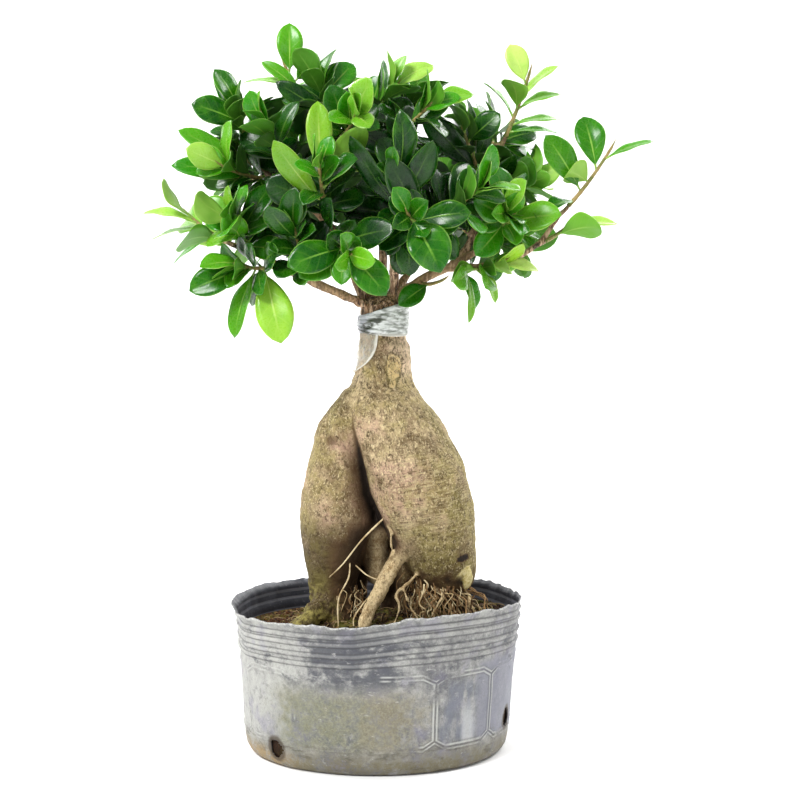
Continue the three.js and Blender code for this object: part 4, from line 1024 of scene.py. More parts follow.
# Graft tape
# One strip of thin clear film, wound tightly several times round the graft and slanting up to the right,
# with its loose end hanging down the left of the neck. It has gone cloudy and holds dirt in its wrinkles.
TAPE_CENTRE = 4.3  # the neck's axis lies this far to the right
TAPE_INSIDE = 14.5
TAPE_FILM = 0.3
TAPE_BOTTOM = 251
TAPE_TOP = 265
TAPE_TOP_SLANT = 4.5
TAPE_BOTTOM_SLANT = 1.5
TAPE_FRONT_DROP = 2
TAPE_TURNS = 5
TAIL_ANGLES = (math.radians(150), math.radians(259))
TAIL_LENGTH = 29
TAIL_WIDTH = 29
TAIL_OVERLAP = 4
TAIL_NARROWING = 0.66
TAIL_OFF_NECK = 0.75
BAND_GRID = (160, 34)
TAIL_GRID = (30, 34)
BESIDE_NECK = 60


def film_sheet(across, down, place_of, thickness):
    """A thin sheet: a grid laid where the formula puts it, and given its thickness."""
    shape = bmesh.new()
    bmesh.ops.create_grid(shape, x_segments=across, y_segments=down, size=0.5)
    for vert in shape.verts:
        vert.co = place_of(vert.co.x + 0.5, vert.co.y + 0.5)
    bmesh.ops.solidify(sealed(shape), geom=shape.faces, thickness=-thickness)
    if shape.calc_volume(signed=True) < 0:
        bmesh.ops.reverse_faces(shape, faces=shape.faces)
    return shape


def band_place(turn, rise):
    """The band: windings lap over each other, pulled into slanting wrinkles."""
    angle = 2 * math.pi * turn
    slant = math.cos(angle)
    front = max(0, -math.sin(angle))
    bottom = TAPE_BOTTOM - TAPE_FRONT_DROP * front - TAPE_BOTTOM_SLANT * slant
    top = TAPE_TOP + TAPE_TOP_SLANT * slant
    top += 0.5 * noise_at(8 * math.cos(angle), 8 * math.sin(angle), 3, 2.5)
    lap = (rise * TAPE_TURNS + 0.5 * slant) % 1
    x, y = 14 * math.cos(angle), 14 * math.sin(angle)
    pull = noise_at(x, y, (rise * 13 + slant * 5) * 2.6, 5)
    pull += 0.5 * noise_at(x, y, (rise * 13 + slant * 6) * 3, 2.2)
    waist = 0.5 * math.cos(2 * math.pi * (rise - 0.5))
    edge = smooth_step(0.12, 0, rise) + smooth_step(0.88, 1, rise)
    radius = TAPE_INSIDE + 0.55 + 0.35 * lap + 0.42 * pull + 0.25 * waist - 0.35 * edge
    height = blend(bottom, top, rise)
    return Vector((TAPE_CENTRE + radius * math.cos(angle), radius * math.sin(angle), height))


def neck_reach(angle, height):
    """How far the neck's bark stands out from the axis of the tape, on one side at one height."""
    way = Vector((math.cos(angle), math.sin(angle), 0))
    outside = Vector((TAPE_CENTRE, 0, height)) + way * BESIDE_NECK
    return BESIDE_NECK - neck_skin.ray_cast(outside, -way)[3]


def tail_narrow(down):
    """The share of its full width that the loose end still has, with the rounded corner of its foot."""
    return 1 - TAIL_NARROWING * min(max(down, 0), 1) ** 4


def tail_place(across, rise):
    """The loose end, hanging from under the band and clinging to the neck."""
    down = 1 - rise
    angle = blend(*TAIL_ANGLES, across * tail_narrow(down))
    fold = noise_at(across * 9, down * 5, 2, 1.1) + 0.5 * noise_at(across * 20, down * 8, 7, 1.2)
    height = TAPE_BOTTOM + TAIL_OVERLAP - TAIL_LENGTH * down
    below = smooth_step(0.1, 0.3, down)
    nearest = max(neck_reach(angle, height + lift) for lift in (-1.5, 0, 1.5))
    radius = nearest + 0.35 + (TAIL_OFF_NECK + 0.45 * fold) * below
    return Vector((TAPE_CENTRE + radius * math.cos(angle), radius * math.sin(angle), height))


band = film_sheet(*BAND_GRID, band_place, TAPE_FILM)
tail = film_sheet(*TAIL_GRID, tail_place, TAPE_FILM)
# How clear and how grimy the film is at each point: the tail is one clear layer, with paler doubled edges
band_clear, grimy = point_values(band, "clearness", "grimy")
tail_clear, _ = point_values(tail, "clearness", "grimy")
for vert in band.verts:
    x, y, z = vert.co
    vert[band_clear] = 0.45 * smooth_step(-1, -8, x) * (0.7 + noise_at(x, y, z, 3))
    bottom = TAPE_BOTTOM - TAPE_BOTTOM_SLANT * (x - TAPE_CENTRE) / 15 - TAPE_FRONT_DROP * max(0, -y) / 15
    slanted = z - 256.5 - 0.55 * (x + 2)
    vert[grimy] = max(0.85 * smooth_step(1.6, 0.5, z - bottom),
                      smooth_step(8.5, 3, abs(x + 2.5)) * smooth_step(3.6, 1.2, abs(slanted)) * (y < 0))
tail_start, tail_stop = TAIL_ANGLES
for vert in tail.verts:
    down = (TAPE_BOTTOM + TAIL_OVERLAP - vert.co.z) / TAIL_LENGTH
    angle = math.atan2(vert.co.y, vert.co.x - TAPE_CENTRE) % (2 * math.pi)
    narrow = tail_narrow(down)
    across = (angle - tail_start) / (tail_stop - tail_start) / narrow
    to_edge = min(across, 1 - across) * TAIL_WIDTH * narrow
    hem = smooth_step(1.5, 0.6, min(to_edge, (1 - down) * TAIL_LENGTH))
    crease = max(0, noise_at(vert.co.x * 1.5, vert.co.y, vert.co.z * 0.4, 1.8))
    vert[tail_clear] = smooth_step(0.05, 0.2, down) * max(0, 0.93 - 0.8 * hem - 0.45 * crease)
band.from_mesh(mesh_of(tail, "tail"))


def tape_finish():
    film = Finish("cloudy_graft_film")
    height, across = film.axis("Z"), film.axis("X")
    slanted = film.node("ShaderNodeMapping", sockets={
        "Vector": film.place, "Scale": (160, 160, 620), "Rotation": (0, -0.33, 0)})
    wrinkle = film.node("ShaderNodeTexNoise", sockets={
        "Vector": slanted, "Scale": 1, "Detail": 3, "Roughness": 0.6, "Distortion": 0.4})
    cloud = film.grain(7, detail=3, shift=3)
    clearness = film.attribute("clearness")
    film.colour = film.mix(wrinkle.between(0.38, 0.64), (136, 140, 132), (228, 231, 229))
    film.lay(across.between(0.001, -0.008) * 0.5, (202, 206, 222))
    seam = wrinkle.between(0.4, 0.3) * across.between(0.014, 0.0)
    film.lay(seam * 0.7, (96, 100, 88))
    grime = film.attribute("grimy")
    film.lay((grime * 1.6).least(1) * wrinkle.between(0.7, 0.5), (64, 68, 56))
    film.lay(height.between(0.251, 0.248) * 0.85, (240, 236, 224))
    cover = 0.96 - clearness * 0.88 - cloud.between(0.5, 0.8) * 0.1
    return film.coat(Base_Color=film.colour, Roughness=0.3, Alpha=cover, Coat_Weight=0.3, Coat_Roughness=0.2,
                     Normal=film.bump(wrinkle * (1 - clearness), 0.4))


piece_from(band, "graft_film", "graft_film", ["graft_tape"], tape_finish())

# Scion wood
# The scion is the leafy fig that was grafted on: limbs grown together at the graft, then forked.
# Each limb is a smooth tube through its points, joined to the others and to the callus as one grown piece.

# Each limb: half thickness at its start and its end, then points outwards, in millimetres
LIMBS = {
    "left_low": (3.4, 1.6, [
        (0, -3, 262), (-8, -5, 268), (-24, -11, 275), (-52, -20, 288), (-66, -25, 296), (-84, -28, 303)]),
    "left_up": (3.3, 1.6, [
        (-2, 2, 263), (-10, 2, 277), (-16, 2, 291), (-30, 4, 316), (-53, 6, 339), (-76, 8, 353)]),
    "centre": (3.3, 1.6, [
        (8, -1, 264), (11, -3, 281), (9, -7, 306), (-2, -9, 338), (-22, -6, 366), (-38, -2, 384)]),
    "right": (3.6, 1.6, [
        (9, -2, 262), (13, -3, 272), (29, -7, 283), (46, -11, 291), (68, -14, 305), (84, -12, 322)]),
    "arch": (2.1, 1.4, [(46, -11, 291), (60, -18, 290), (82, -21, 295), (97, -20, 305), (108, -18, 320)]),
    "right_up": (2.4, 1.6, [(46, -11, 291), (56, -8, 304), (63, -2, 326), (70, 2, 348), (75, 4, 362)]),
    "back_left": (3.0, 1.6, [(1, 5, 264), (-4, 12, 275), (-28, 44, 310), (-46, 60, 332)]),
    "back_right": (3.0, 1.6, [(8, 4, 263), (11, 9, 272), (22, 26, 290), (38, 46, 313), (50, 58, 334)]),
    "back_up": (3.0, 1.6, [(4, 6, 265), (4, 17, 298), (2, 24, 336), (8, 22, 366)]),
    "front_left": (2.3, 1.6, [(-16, 2, 291), (-20, -20, 304), (-28, -40, 318)]),
    "front_right": (2.3, 1.6, [(10.6, -4, 286), (20, -24, 302), (30, -44, 318)]),
}


def bent_point(bend, place):
    """A point of a curve that leaves its first point towards the second and ends at the third."""
    start, middle, end = bend
    return (1 - place) ** 2 * start + 2 * (1 - place) * place * middle + place ** 2 * end


def limb_radius(limb, place):
    start, end, _ = LIMBS[limb]
    return blend(start, end, place)


TWIG_LENGTH = 40  # longest leafy twig
TWIG_RADIUS = 1.3
TWIG_TIP_RADIUS = 0.9
TWIG_SAG = 0.1
SPUR_LENGTH = 5  # shortest bare spur between a limb and its twig
SPUR_SWELLING = 0.5
SPUR_GAP = 0.3
LARGEST_SPUR = 0.8
WOOD_CLEARANCE = 1.6
SAMPLE_STEP = 2.5
SAMPLE_CELL = 6

wood_points = []  # [x, y, z, radius, owner] along all wood, to keep leaves and twigs out of it


def wood_samples(point_at, start_radius, end_radius):
    """Points with their radius along a piece of wood, at even steps."""
    steps = [point_at(share) for share in shares(200)]
    length = sum(np.linalg.norm(b - a) for a, b in zip(steps, steps[1:]))
    count = max(2, math.ceil(length / SAMPLE_STEP))
    return [(*point_at(i / count), start_radius + (end_radius - start_radius) * i / count)
            for i in range(count + 1)]


for start, end, points in LIMBS.values():
    for sample in wood_samples(lambda place: smooth_point(points, place), start, end):
        wood_points.append((*sample, "limbs"))


def plant_shoot(name, limb, place, tip, must_fit):
    """The spur and the twig of a shoot from a limb to its tip, or None where they would meet other wood."""
    start = smooth_point(LIMBS[limb][2], place)
    reach = np.linalg.norm(start - tip)
    middle = start + (tip - start) * 0.5 - np.array([0, 0, TWIG_SAG * reach])
    clear_of_limb = limb_radius(limb, place) + SPUR_LENGTH
    share = max(clear_of_limb, reach - TWIG_LENGTH) / reach
    if share > LARGEST_SPUR:
        return None
    cut = bent_point((start, middle, tip), share)
    spur = (start, start + (middle - start) * share, cut)
    second = middle + (tip - middle) * share
    gap = (second - cut) / np.linalg.norm(second - cut) * SPUR_GAP
    twig = (cut + gap, second, tip)
    spur_radius = min(limb_radius(limb, place) - 0.1, TWIG_RADIUS + SPUR_SWELLING)
    twig_wood = wood_samples(lambda t: bent_point(twig, t), TWIG_RADIUS, TWIG_TIP_RADIUS)
    spur_wood = wood_samples(lambda t: bent_point(spur, t), spur_radius, TWIG_RADIUS)
    if must_fit:
        others = np.array([point[:4] for point in wood_points])
        cells = np.floor(others[:, :3] / SAMPLE_CELL)
        for *point, radius in twig_wood + spur_wood:
            if np.linalg.norm(np.array(point) - start) <= clear_of_limb + 2:
                continue
            near = np.all(np.abs(cells - np.floor(np.array(point) / SAMPLE_CELL)) <= 1, axis=1)
            apart = np.linalg.norm(others[near, :3] - np.array(point), axis=1)
            if np.any(apart < others[near, 3] + radius + WOOD_CLEARANCE):
                return None
    wood_points.extend((*sample, "limbs") for sample in spur_wood)
    wood_points.extend((*sample, name) for sample in twig_wood)
    return {"name": name, "tip": tip, "spur": spur, "twig": twig, "spur_radius": spur_radius, "leaves": []}


# The shoots that make the outline and the front of the crown: limb, place along it, tip,
# leaves added by rule, then the leaves that show, as tip, width and face
SHOWN_SHOOTS = {
    "crown_left": ("centre", 1, (-53, 0, 407), 2, [
        ((-67, -6, 414), 9, "up"), ((-78, 2, 405), 10, "up"), ((-35, 8, 417), 14, "front_right"),
        ((-51, -3, 434), 16, "front")]),
    "crown_middle": ("centre", 0.82, (-33, -8, 396), 4, [
        ((-58, -16, 398), 12, "front_left"), ((-13, 0, 411), 16, "front")]),
    "crown_right": ("back_up", 1, (21, 8, 386), 3, [
        ((3, 0, 405), 13, "front_left"), ((46, 5, 393), 14, "up"), ((28, 4, 410), 16, "front_right")]),
    "crown_far_right": ("right_up", 0.62, (52, -14, 369), 3, [
        ((28, -24, 378), 16, "front_left"), ((56, -10, 389), 8, "edge"), ((72, -22, 379), 16, "front")]),
    "upper_left": ("left_up", 1, (-80, -6, 381), 4, [
        ((-96, 2, 402), 12, "up"), ((-107, -16, 386), 18, "front")]),
    "middle_left": ("left_up", 0.84, (-88, -26, 348), 2, [
        ((-94, -36, 326), 16, "front_left"), ((-117, -30, 350), 15, "front"), ((-112, -24, 371), 16, "front"),
        ((-90, -38, 374), 17, "front_left")]),
    "upper_left_front": ("left_up", 0.72, (-64, -34, 374), 6, []),
    "inner_left": ("left_low", 0.5, (-46, -52, 312), 6, []),
    "low_left": ("left_low", 1, (-107, -22, 318), 3, [
        ((-120, -24, 294), 9, "up"), ((-133, -14, 309), 10, "up"), ((-136, -24, 322), 14, "up")]),
    "hanging_left": ("left_low", 0.66, (-76, -40, 290), 2, [
        ((-54, -48, 246), 22, "front"), ((-82, -42, 249), 15, "front_left"),
        ((-107, -46, 276), 18, "front")]),
    "low_front": ("front_left", 0.8, (-14, -74, 297), 1, [
        ((-26, -70, 328), 17, "front_left"), ((8, -80, 312), 19, "front"), ((-45, -84, 293), 20, "front"),
        ((6, -84, 277), 20, "front")]),
    "front_right": ("front_right", 0.9, (19, -78, 319), 1, [
        ((10, -84, 348), 18, "front"), ((53, -76, 321), 16, "front"), ((37, -88, 290), 25, "front")]),
    "front_glossy": ("front_right", 0.62, (10, -70, 344), 2, [
        ((-14, -74, 362), 14, "front_left"), ((32, -78, 357), 17, "front_right"),
        ((19, -74, 376), 17, "front_right")]),
    "front_bright": ("front_left", 1, (-31, -68, 346), 3, [
        ((-57, -64, 361), 15, "front_left"), ((-5, -70, 369), 17, "under"), ((-32, -64, 383), 15, "front")]),
    "right_upright": ("right_up", 1, (91, 4, 403), 1, [
        ((108, 0, 370), 11, "up"), ((110, 4, 380), 11, "up"), ((66, 6, 401), 8, "edge"),
        ((109, 2, 396), 12, "up"), ((111, 8, 410), 13, "front"), ((108, 0, 421), 12, "front"),
        ((80, 2, 422), 14, "front")]),
    "arch_tip": ("arch", 1, (138, -12, 358), 0, [
        ((100, -24, 322), 18, "front_left"), ((100, -20, 367), 18, "front"), ((113, -26, 346), 18, "under"),
        ((124, -8, 380), 18, "front"), ((164, -12, 364), 10, "up")]),
    "arch_low": ("arch", 0.7, (112, -22, 313), 1, [
        ((86, -30, 318), 13, "front"), ((141, -22, 319), 10, "up")]),
    "right_low": ("right", 0.55, (72, -30, 292), 1, [
        ((57, -34, 258), 8, "edge"), ((44, -38, 284), 14, "under"), ((96, -30, 290), 12, "up")]),
    "low_neck": ("right", 0.34, (39, -28, 282), 0, [
        ((14, -34, 268), 13, "front"), ((62, -32, 276), 13, "under")]),
}

# The other shoots fill the crown, spread evenly over two shells of a dome, each from the nearest limb
DOME_CENTRE = np.array([-4, 2, 334])
DOME_RADII = np.array([116, 104, 80])
SHELLS = [(38, 0.8), (9, 0.46)]  # directions tried, and share of the radii
LOWEST_DIRECTION = -0.4
HIGHEST_DIRECTION = 0.98
SHOOT_SPACING = 26
SHORTEST_REACH = 22
FILL_LEAVES = 7
FILL_SEED = 26
GOLDEN_ANGLE = math.radians(137.5)
LIMB_STEPS_TRIED = range(3, 11)  # tenths of a limb that a fill shoot may spring from

shoots = [plant_shoot(name, limb, place, np.array(tip, float), False)
          for name, (limb, place, tip, _, _) in SHOWN_SHOOTS.items()]
fill_draw = seeded_draws(FILL_SEED)
for count, share in SHELLS:
    for i in range(count):
        height = LOWEST_DIRECTION + (HIGHEST_DIRECTION - LOWEST_DIRECTION) * (i + 0.5) / count
        level = math.sqrt(1 - height ** 2)
        angle = i * GOLDEN_ANGLE + 0.5 * fill_draw()
        way = np.array([level * math.cos(angle), level * math.sin(angle), height])
        tip = DOME_CENTRE + share * DOME_RADII * way
        best = (math.inf, None, 0)
        for limb, (_, _, points) in LIMBS.items():
            for step in LIMB_STEPS_TRIED:
                point = smooth_point(points, step / 10)
                apart = np.linalg.norm(point - tip)
                cost = apart + max(0, point[2] - tip[2])
                if apart > SHORTEST_REACH and cost < best[0]:
                    best = (cost, limb, step / 10)
        if all(np.linalg.norm(shoot["tip"] - tip) > SHOOT_SPACING for shoot in shoots):
            shoot = plant_shoot(f"fill_{len(shoots)}", best[1], best[2], tip, True)
            if shoot:
                shoots.append(shoot)

LIMB_VOXEL = 0.62
LIMB_STEPS, LIMB_SIDES = 40, 14
SPUR_STEPS, SPUR_SIDES = 12, 10
# The knobbly swelling where scion and rootstock grew together, in stations like a tuber's
CALLUS = [
    (4.3, 0, NECK_TOP - 2, 12.4, 12.4), (4.3, 0, 262, 13.6, 13.4), (4.8, 0, 267, 13.2, 12.8),
    (4.8, 0, 271, 9.5, 9), (4.6, 0, 275, 4, 4),
]
limb_paths = []
for start, end, points in LIMBS.values():
    path = []
    for share in shares(LIMB_STEPS):
        place = smooth_point(points, share)
        radius = blend(start, end, share) * (1 + 0.12 * noise_at(*place, 6))
        path.append((place, radius * (1 + 0.35 * math.exp(-share * 12))))
    limb_paths.append(path)
spur_paths = []
for shoot in shoots:
    path = []
    for share in shares(SPUR_STEPS):
        radius = blend(shoot["spur_radius"], TWIG_RADIUS, share)
        ring = 0.16 * max(0, math.cos(share * 40))
        path.append((bent_point(shoot["spur"], share), radius * (1 + ring)))
    spur_paths.append(path)
wood_bodies = [column(CALLUS, 40), tubes(limb_paths, LIMB_SIDES), tubes(spur_paths, SPUR_SIDES)]
wood_skin = welded(wood_bodies, LIMB_VOXEL, 1)
wood_skin.normal_update()
for vert in wood_skin.verts:
    x, y, z = vert.co
    out = 0.22 * noise_at(x, y, z, 3) + 0.6 * smooth_step(280, 268, z) * noise_at(x, y, z * 0.3, 2.6)
    out += 0.5 * smooth_step(262, 268, z) * smooth_step(300, 280, z) * noise_at(x, y, z * 0.5, 5)
    vert.co = vert.co + vert.normal * out


def scion_finish():
    wood = Finish("scion_bark")
    height = wood.axis("Z")
    patch = wood.grain(16, detail=3, rough=0.6)
    fine = wood.grain(1.5, detail=3, rough=0.7, shift=4)
    along = wood.grain(1.4, (1, 1, 4), 3, 0.6, shift=9)
    wood.colour = wood.mix(patch.between(0.3, 0.7), (84, 60, 44), (154, 118, 86))
    orange = (wood.grain(10, detail=3, shift=20) + height.between(0.285, 0.262) * 0.18).between(0.52, 0.7)
    wood.lay(orange * 0.45, (176, 126, 82))
    wood.lay(along.between(0.5, 0.36) * 0.5, (52, 34, 24))
    # Lengthwise streaks where the limbs rise from the graft: pale old bark beside dark furrows
    streaks = wood.grain(1.5, (1.1, 1.1, 7), 3, 0.65, warp=0.3, shift=33)
    rising = height.between(0.335, 0.3)
    wood.lay(streaks.between(0.5, 0.58) * rising * 0.9, (218, 184, 152))
    wood.lay(streaks.between(0.48, 0.4) * rising * 0.85, (38, 24, 16))
    # Painted light on the upper side of the limbs
    wood.lay(wood.attribute("painted_top_light") * (0.25 + patch * 0.7), (204, 170, 128))
    wood.lay(fine.between(0.58, 0.7) * 0.6, (206, 186, 150))
    tan = abs(wood.axis("X") - 0.004).between(0.012, 0.02) * height.between(0.304, 0.286)
    tan = tan * patch.between(0.35, 0.6)
    wood.lay(tan * 0.75, (172, 140, 100))
    callus = wood.grain(2.2, (0.8, 0.8, 4), 4, 0.75, warp=0.8, shift=50).between(0.5, 0.42)
    callus = callus * height.between(0.284, 0.272)
    wood.lay(callus * 0.8, (40, 24, 16))
    green = height.between(0.31, 0.37) * 0.55
    wood.lay(green * patch.between(0.35, 0.6), (122, 124, 62))
    return wood.coat(Base_Color=wood.colour, Roughness=0.7, Normal=wood.bump(along * 0.6 + fine * 0.4, 0.9))


# The upper side of the limbs is painted lighter, as light falling from above
painted_top_light, = point_values(wood_skin, "painted_top_light")
wood_skin.normal_update()
for vert in wood_skin.verts:
    vert[painted_top_light] = smooth_step(0.1, 0.85, vert.normal.z) * smooth_step(268, 274, vert.co.z)
piece_from(wood_skin, "scion_wood", "scion_bark", ["scion_limbs"], scion_finish())

# Leaves
# Glossy oval leaves on short stalks, fused to their green twig, which ends in a pointed bud.
# The ones that show stand where they are seen, the others go round each twig by the golden angle.
LEAF_LENGTH = 36
LEAF_WIDTH = 20
LEAF_ARCH = 0.06
LEAF_FOLD = 0.1
LEAF_STATIONS = [(0, 0), (0.36, 0.88), (0.76, 0.9), (1, 0)]
LEAF_SPREAD = (1.25, 0.35)
YOUNG_LEAF = 0.78
LAST_LEAF_PLACE = 0.96
LEAF_DRAWS = 7
LARGEST_SHIFT = 8
LEAF_CLEARANCE = 3.5
OWN_CLEARANCE = 2.4
LEAF_ROOT = 0.35
WOOD_SPACE = 2.2
OWN_WOOD_SPACE = 0.8
FACES = {
    "front": (0.1, -1, 0.3),
    "front_left": (-0.6, -0.8, 0.4),
    "front_right": (0.6, -0.8, 0.4),
    "up": (0, -0.45, 0.9),
    "under": (0, 0.85, 0.5),
    "edge": (0.9, -0.4, 0.2),
}


def unit(vector):
    return vector / np.linalg.norm(vector)


def leaf_at(base, tip, width, facing):
    """A leaf from its base to its tip, with its glossy side turned to facing as far as it can."""
    length = np.linalg.norm(tip - base)
    along = (tip - base) / length
    normal = unit(facing - along * np.dot(facing, along))
    return {"base": base, "along": along, "normal": normal, "across": np.cross(along, normal),
            "length": length, "width": width}


def leaf_samples(leaf):
    """Points all over a leaf, and for each whether it is near the twig."""
    places, sides = [], []
    rows = math.ceil(leaf["length"] / SAMPLE_STEP)
    for row in range(1, rows + 1):
        place = row / rows
        half = leaf["width"] / 2 * np.interp(place, *zip(*LEAF_STATIONS))
        columns = max(1, math.ceil(2 * half / SAMPLE_STEP))
        for i in range(columns + 1):
            places.append(place)
            sides.append(half * (2 * i / columns - 1))
    place, side = np.array(places)[:, None], np.array(sides)[:, None]
    arch = LEAF_ARCH * leaf["length"] * 4 * place * (1 - place)
    points = (leaf["base"] + leaf["along"] * (leaf["length"] * place) + leaf["across"] * side
              + leaf["normal"] * (arch + LEAF_FOLD * np.abs(side)))
    return points, place[:, 0] < LEAF_ROOT


grown = []  # the samples of every leaf, with its shoot, middle and reach
wood_table = np.array([point[:4] for point in wood_points])
wood_owner = np.array([point[4] for point in wood_points])


def leaf_fits(leaf, shoot, ease=1):
    """Grows a leaf if it is clear of the wood and the other leaves. A smaller ease lets it come closer."""
    points, near_root = leaf_samples(leaf)
    middle = points.mean(axis=0)
    reach = np.linalg.norm(points - middle, axis=1).max()
    apart_from_wood = np.linalg.norm(wood_table[:, :3] - middle, axis=1)
    near = apart_from_wood < reach + 10
    own = (wood_owner[near] == shoot["name"])[None, :]
    apart = np.linalg.norm(points[:, None] - wood_table[None, near, :3], axis=2)
    radius = wood_table[None, near, 3]
    own_space = np.where(near_root[:, None], 0, radius + OWN_WOOD_SPACE)
    space = np.where(own, own_space, radius + ease * WOOD_SPACE)
    if np.any(apart < space):
        return False
    for other in grown:
        if np.linalg.norm(other["middle"] - middle) > reach + other["reach"] + LEAF_CLEARANCE:
            continue
        apart = np.linalg.norm(points[:, None] - other["points"][None], axis=2)
        if other["shoot"] != shoot["name"]:
            space = ease * LEAF_CLEARANCE
        else:
            space = np.where(near_root[:, None] | other["near_root"][None], 0, ease * OWN_CLEARANCE)
        if np.any(apart < space):
            return False
    grown.append({"points": points, "near_root": near_root, "middle": middle, "reach": reach,
                  "shoot": shoot["name"]})
    shoot["leaves"].append(leaf)
    return True


leaf_draw = seeded_draws(FILL_SEED + 1)


def loose(draw):
    """A random step of up to a half along each axis."""
    return np.array([draw() - 0.5, draw() - 0.5, draw() - 0.5])


for shoot in shoots:
    shown = SHOWN_SHOOTS[shoot["name"]][4] if shoot["name"] in SHOWN_SHOOTS else []
    for i, (tip, width, face) in enumerate(shown):
        base = bent_point(shoot["twig"], (i + 0.6) / len(shown) * 0.94)
        for attempt in range(2 * LEAF_DRAWS):
            share = attempt / LEAF_DRAWS
            shift = loose(leaf_draw) * np.array([1, 2, 1]) * LARGEST_SHIFT * share
            facing = np.array(FACES[face]) + loose(leaf_draw) * share
            if leaf_fits(leaf_at(base, np.array(tip) + shift, width, facing), shoot):
                break


def grow_rule_leaves(shoot, count, draw, tries, ease=1, scale=1):
    """Leaves round the twig by the golden angle, their glossy side towards the tip and the light."""
    outward = unit(shoot["tip"] - DOME_CENTRE)
    first_angle = draw() * 2 * math.pi
    for i in range(count):
        place = 0.5 if count == 1 else 0.12 + 0.88 * i / (count - 1)
        at = min(place, LAST_LEAF_PLACE)
        base = bent_point(shoot["twig"], at)
        ahead = unit(bent_point(shoot["twig"], at + 0.0001) - bent_point(shoot["twig"], at - 0.0001))
        side = unit(np.cross(ahead, np.array([0, 0, 1])))
        up = np.cross(side, ahead)
        for attempt in range(tries):
            angle = first_angle + i * GOLDEN_ANGLE + (draw() - 0.5) * (0.4 + 0.35 * attempt)
            spread = blend(*LEAF_SPREAD, place) + (draw() - 0.5) * 0.4
            aim = (ahead * math.cos(spread) + side * math.sin(spread) * math.cos(angle)
                   + up * math.sin(spread) * math.sin(angle))
            facing = ahead * 0.55 + outward * 0.65 + np.array([0, 0, 0.3]) + loose(draw) * 0.7
            size = (1 + (YOUNG_LEAF - 1) * place) * (0.88 + 0.24 * draw()) * scale
            tip = base + unit(aim) * LEAF_LENGTH * size
            if leaf_fits(leaf_at(base, tip, LEAF_WIDTH * size, facing), shoot, ease):
                break


for shoot in shoots:
    count = SHOWN_SHOOTS[shoot["name"]][3] if shoot["name"] in SHOWN_SHOOTS else FILL_LEAVES
    grow_rule_leaves(shoot, count, leaf_draw, LEAF_DRAWS)

# The crown is fuller than the first leaves make it: smaller ones come closer together round the same twigs,
# and more stand along the bare spurs inside it, where they are old and darkened by painted shade
EXTRA_SEED = 131
EXTRA_LEAVES = 9
EXTRA_EASE = 0.4
EXTRA_SIZE = 0.74
EXTRA_TRIES = 9
INNER_LEAVES = 11
INNER_EASE = 0.25
INNER_LENGTH = (17, 31)
INNER_TRIES = 6
CLEAR_OF_GRAFT = 70  # nothing grows this near the neck below the crown
CROWN_FOOT = 303
BARE_TIPS = ("right_upright", "arch_tip", "arch_low", "low_neck", "low_left", "crown_left")
extra_draw = seeded_draws(EXTRA_SEED)


def depth_in_crown(point):
    """1 deep inside the crown, 0 at its outside."""
    return smooth_step(1.0, 0.55, float(np.linalg.norm((point - DOME_CENTRE) / DOME_RADII)))


def grow_inner_leaves(shoot, count, draw):
    """Old leaves along the bare spur of a shoot, inside the crown."""
    for i in range(count):
        for attempt in range(INNER_TRIES):
            base = bent_point(shoot["spur"], 0.25 + 0.72 * draw())
            outward = unit(base - DOME_CENTRE)
            aim = unit(outward * 0.5 + np.array([0, 0, 0.25]) + 2.2 * loose(draw))
            size = blend(*INNER_LENGTH, draw())
            tip = base + aim * size
            facing = outward * 0.8 + np.array([0, -0.3, 0.5]) + loose(draw) * 1.5
            in_crown = np.linalg.norm((tip - DOME_CENTRE) / DOME_RADII) < 1.0
            near_graft = base[2] < CROWN_FOOT and abs(base[0]) < CLEAR_OF_GRAFT
            leaf = leaf_at(base, tip, size * (0.5 + 0.12 * draw()), facing)
            if in_crown and not near_graft and leaf_fits(leaf, shoot, INNER_EASE):
                break


for shoot in shoots:
    if shoot["name"] not in BARE_TIPS:
        grow_rule_leaves(shoot, EXTRA_LEAVES, extra_draw, EXTRA_TRIES, EXTRA_EASE, EXTRA_SIZE)
for shoot in shoots:
    if shoot["name"] not in BARE_TIPS:
        grow_inner_leaves(shoot, INNER_LEAVES, extra_draw)

# How young each shoot is, and some single leaves of it, from 0 for a hard dark leaf to 1 for a fresh pale one
YOUNG_SHOOTS = {
    "front_bright": 0.35, "hanging_left": 0.12, "right_upright": 0.45, "crown_left": 0.45, "middle_left": 0.3,
    "low_left": 0.35, "right_low": 0.5, "low_neck": 0.1, "arch_tip": 0.1, "arch_low": 0.3, "low_front": 0.12,
    "front_right": 0.04, "front_glossy": 0.04,
}
YOUNG_LEAVES = {
    "hanging_left": {0: 0.82, 1: 0.25, 2: 0.1}, "crown_left": {2: 0.15, 3: 0.5}, "arch_tip": {2: 0.85},
    "low_neck": {0: 0.25}, "right_low": {1: 0.75}, "front_glossy": {1: 0.0, 2: 0.0}, "front_right": {2: 0.05},
    "front_bright": {0: 0.75, 1: 0.85, 2: 0.8}, "low_front": {0: 0.08, 1: 0.04, 2: 0.02, 3: 0.1},
}
YOUNGEST_BY_CHANCE = 0.55
LEAF_ACROSS = 6
LEAF_ALONG = 16
PETIOLE = 0.1  # share of the leaf's length that is stalk
PETIOLE_RADIUS = 0.55
BLADE_THICKNESS = 0.42
BLADE_RISE = 0.98
BLADE_FALL = 0.7
BLADE_CUP = (0.1, 0.5)
BLADE_CURL = (0.0, 0.2)
BLADE_RIB = 0.35
EDGE_WAVE = 0.07
EDGE_WAVES = 11
BLADE_LAYERS = ("along", "across", "under", "young", "shade")  # what the leaf's finish reads at each point
TWIG_STEPS = 14
TWIG_SIDES = 8
BUD_LENGTH = 8
BUD_RINGS = (0, 0.1, 0.25, 0.45, 0.65, 0.85, 1)


def points_of(parts):
    return [part for part in parts if isinstance(part, bmesh.types.BMVert)]


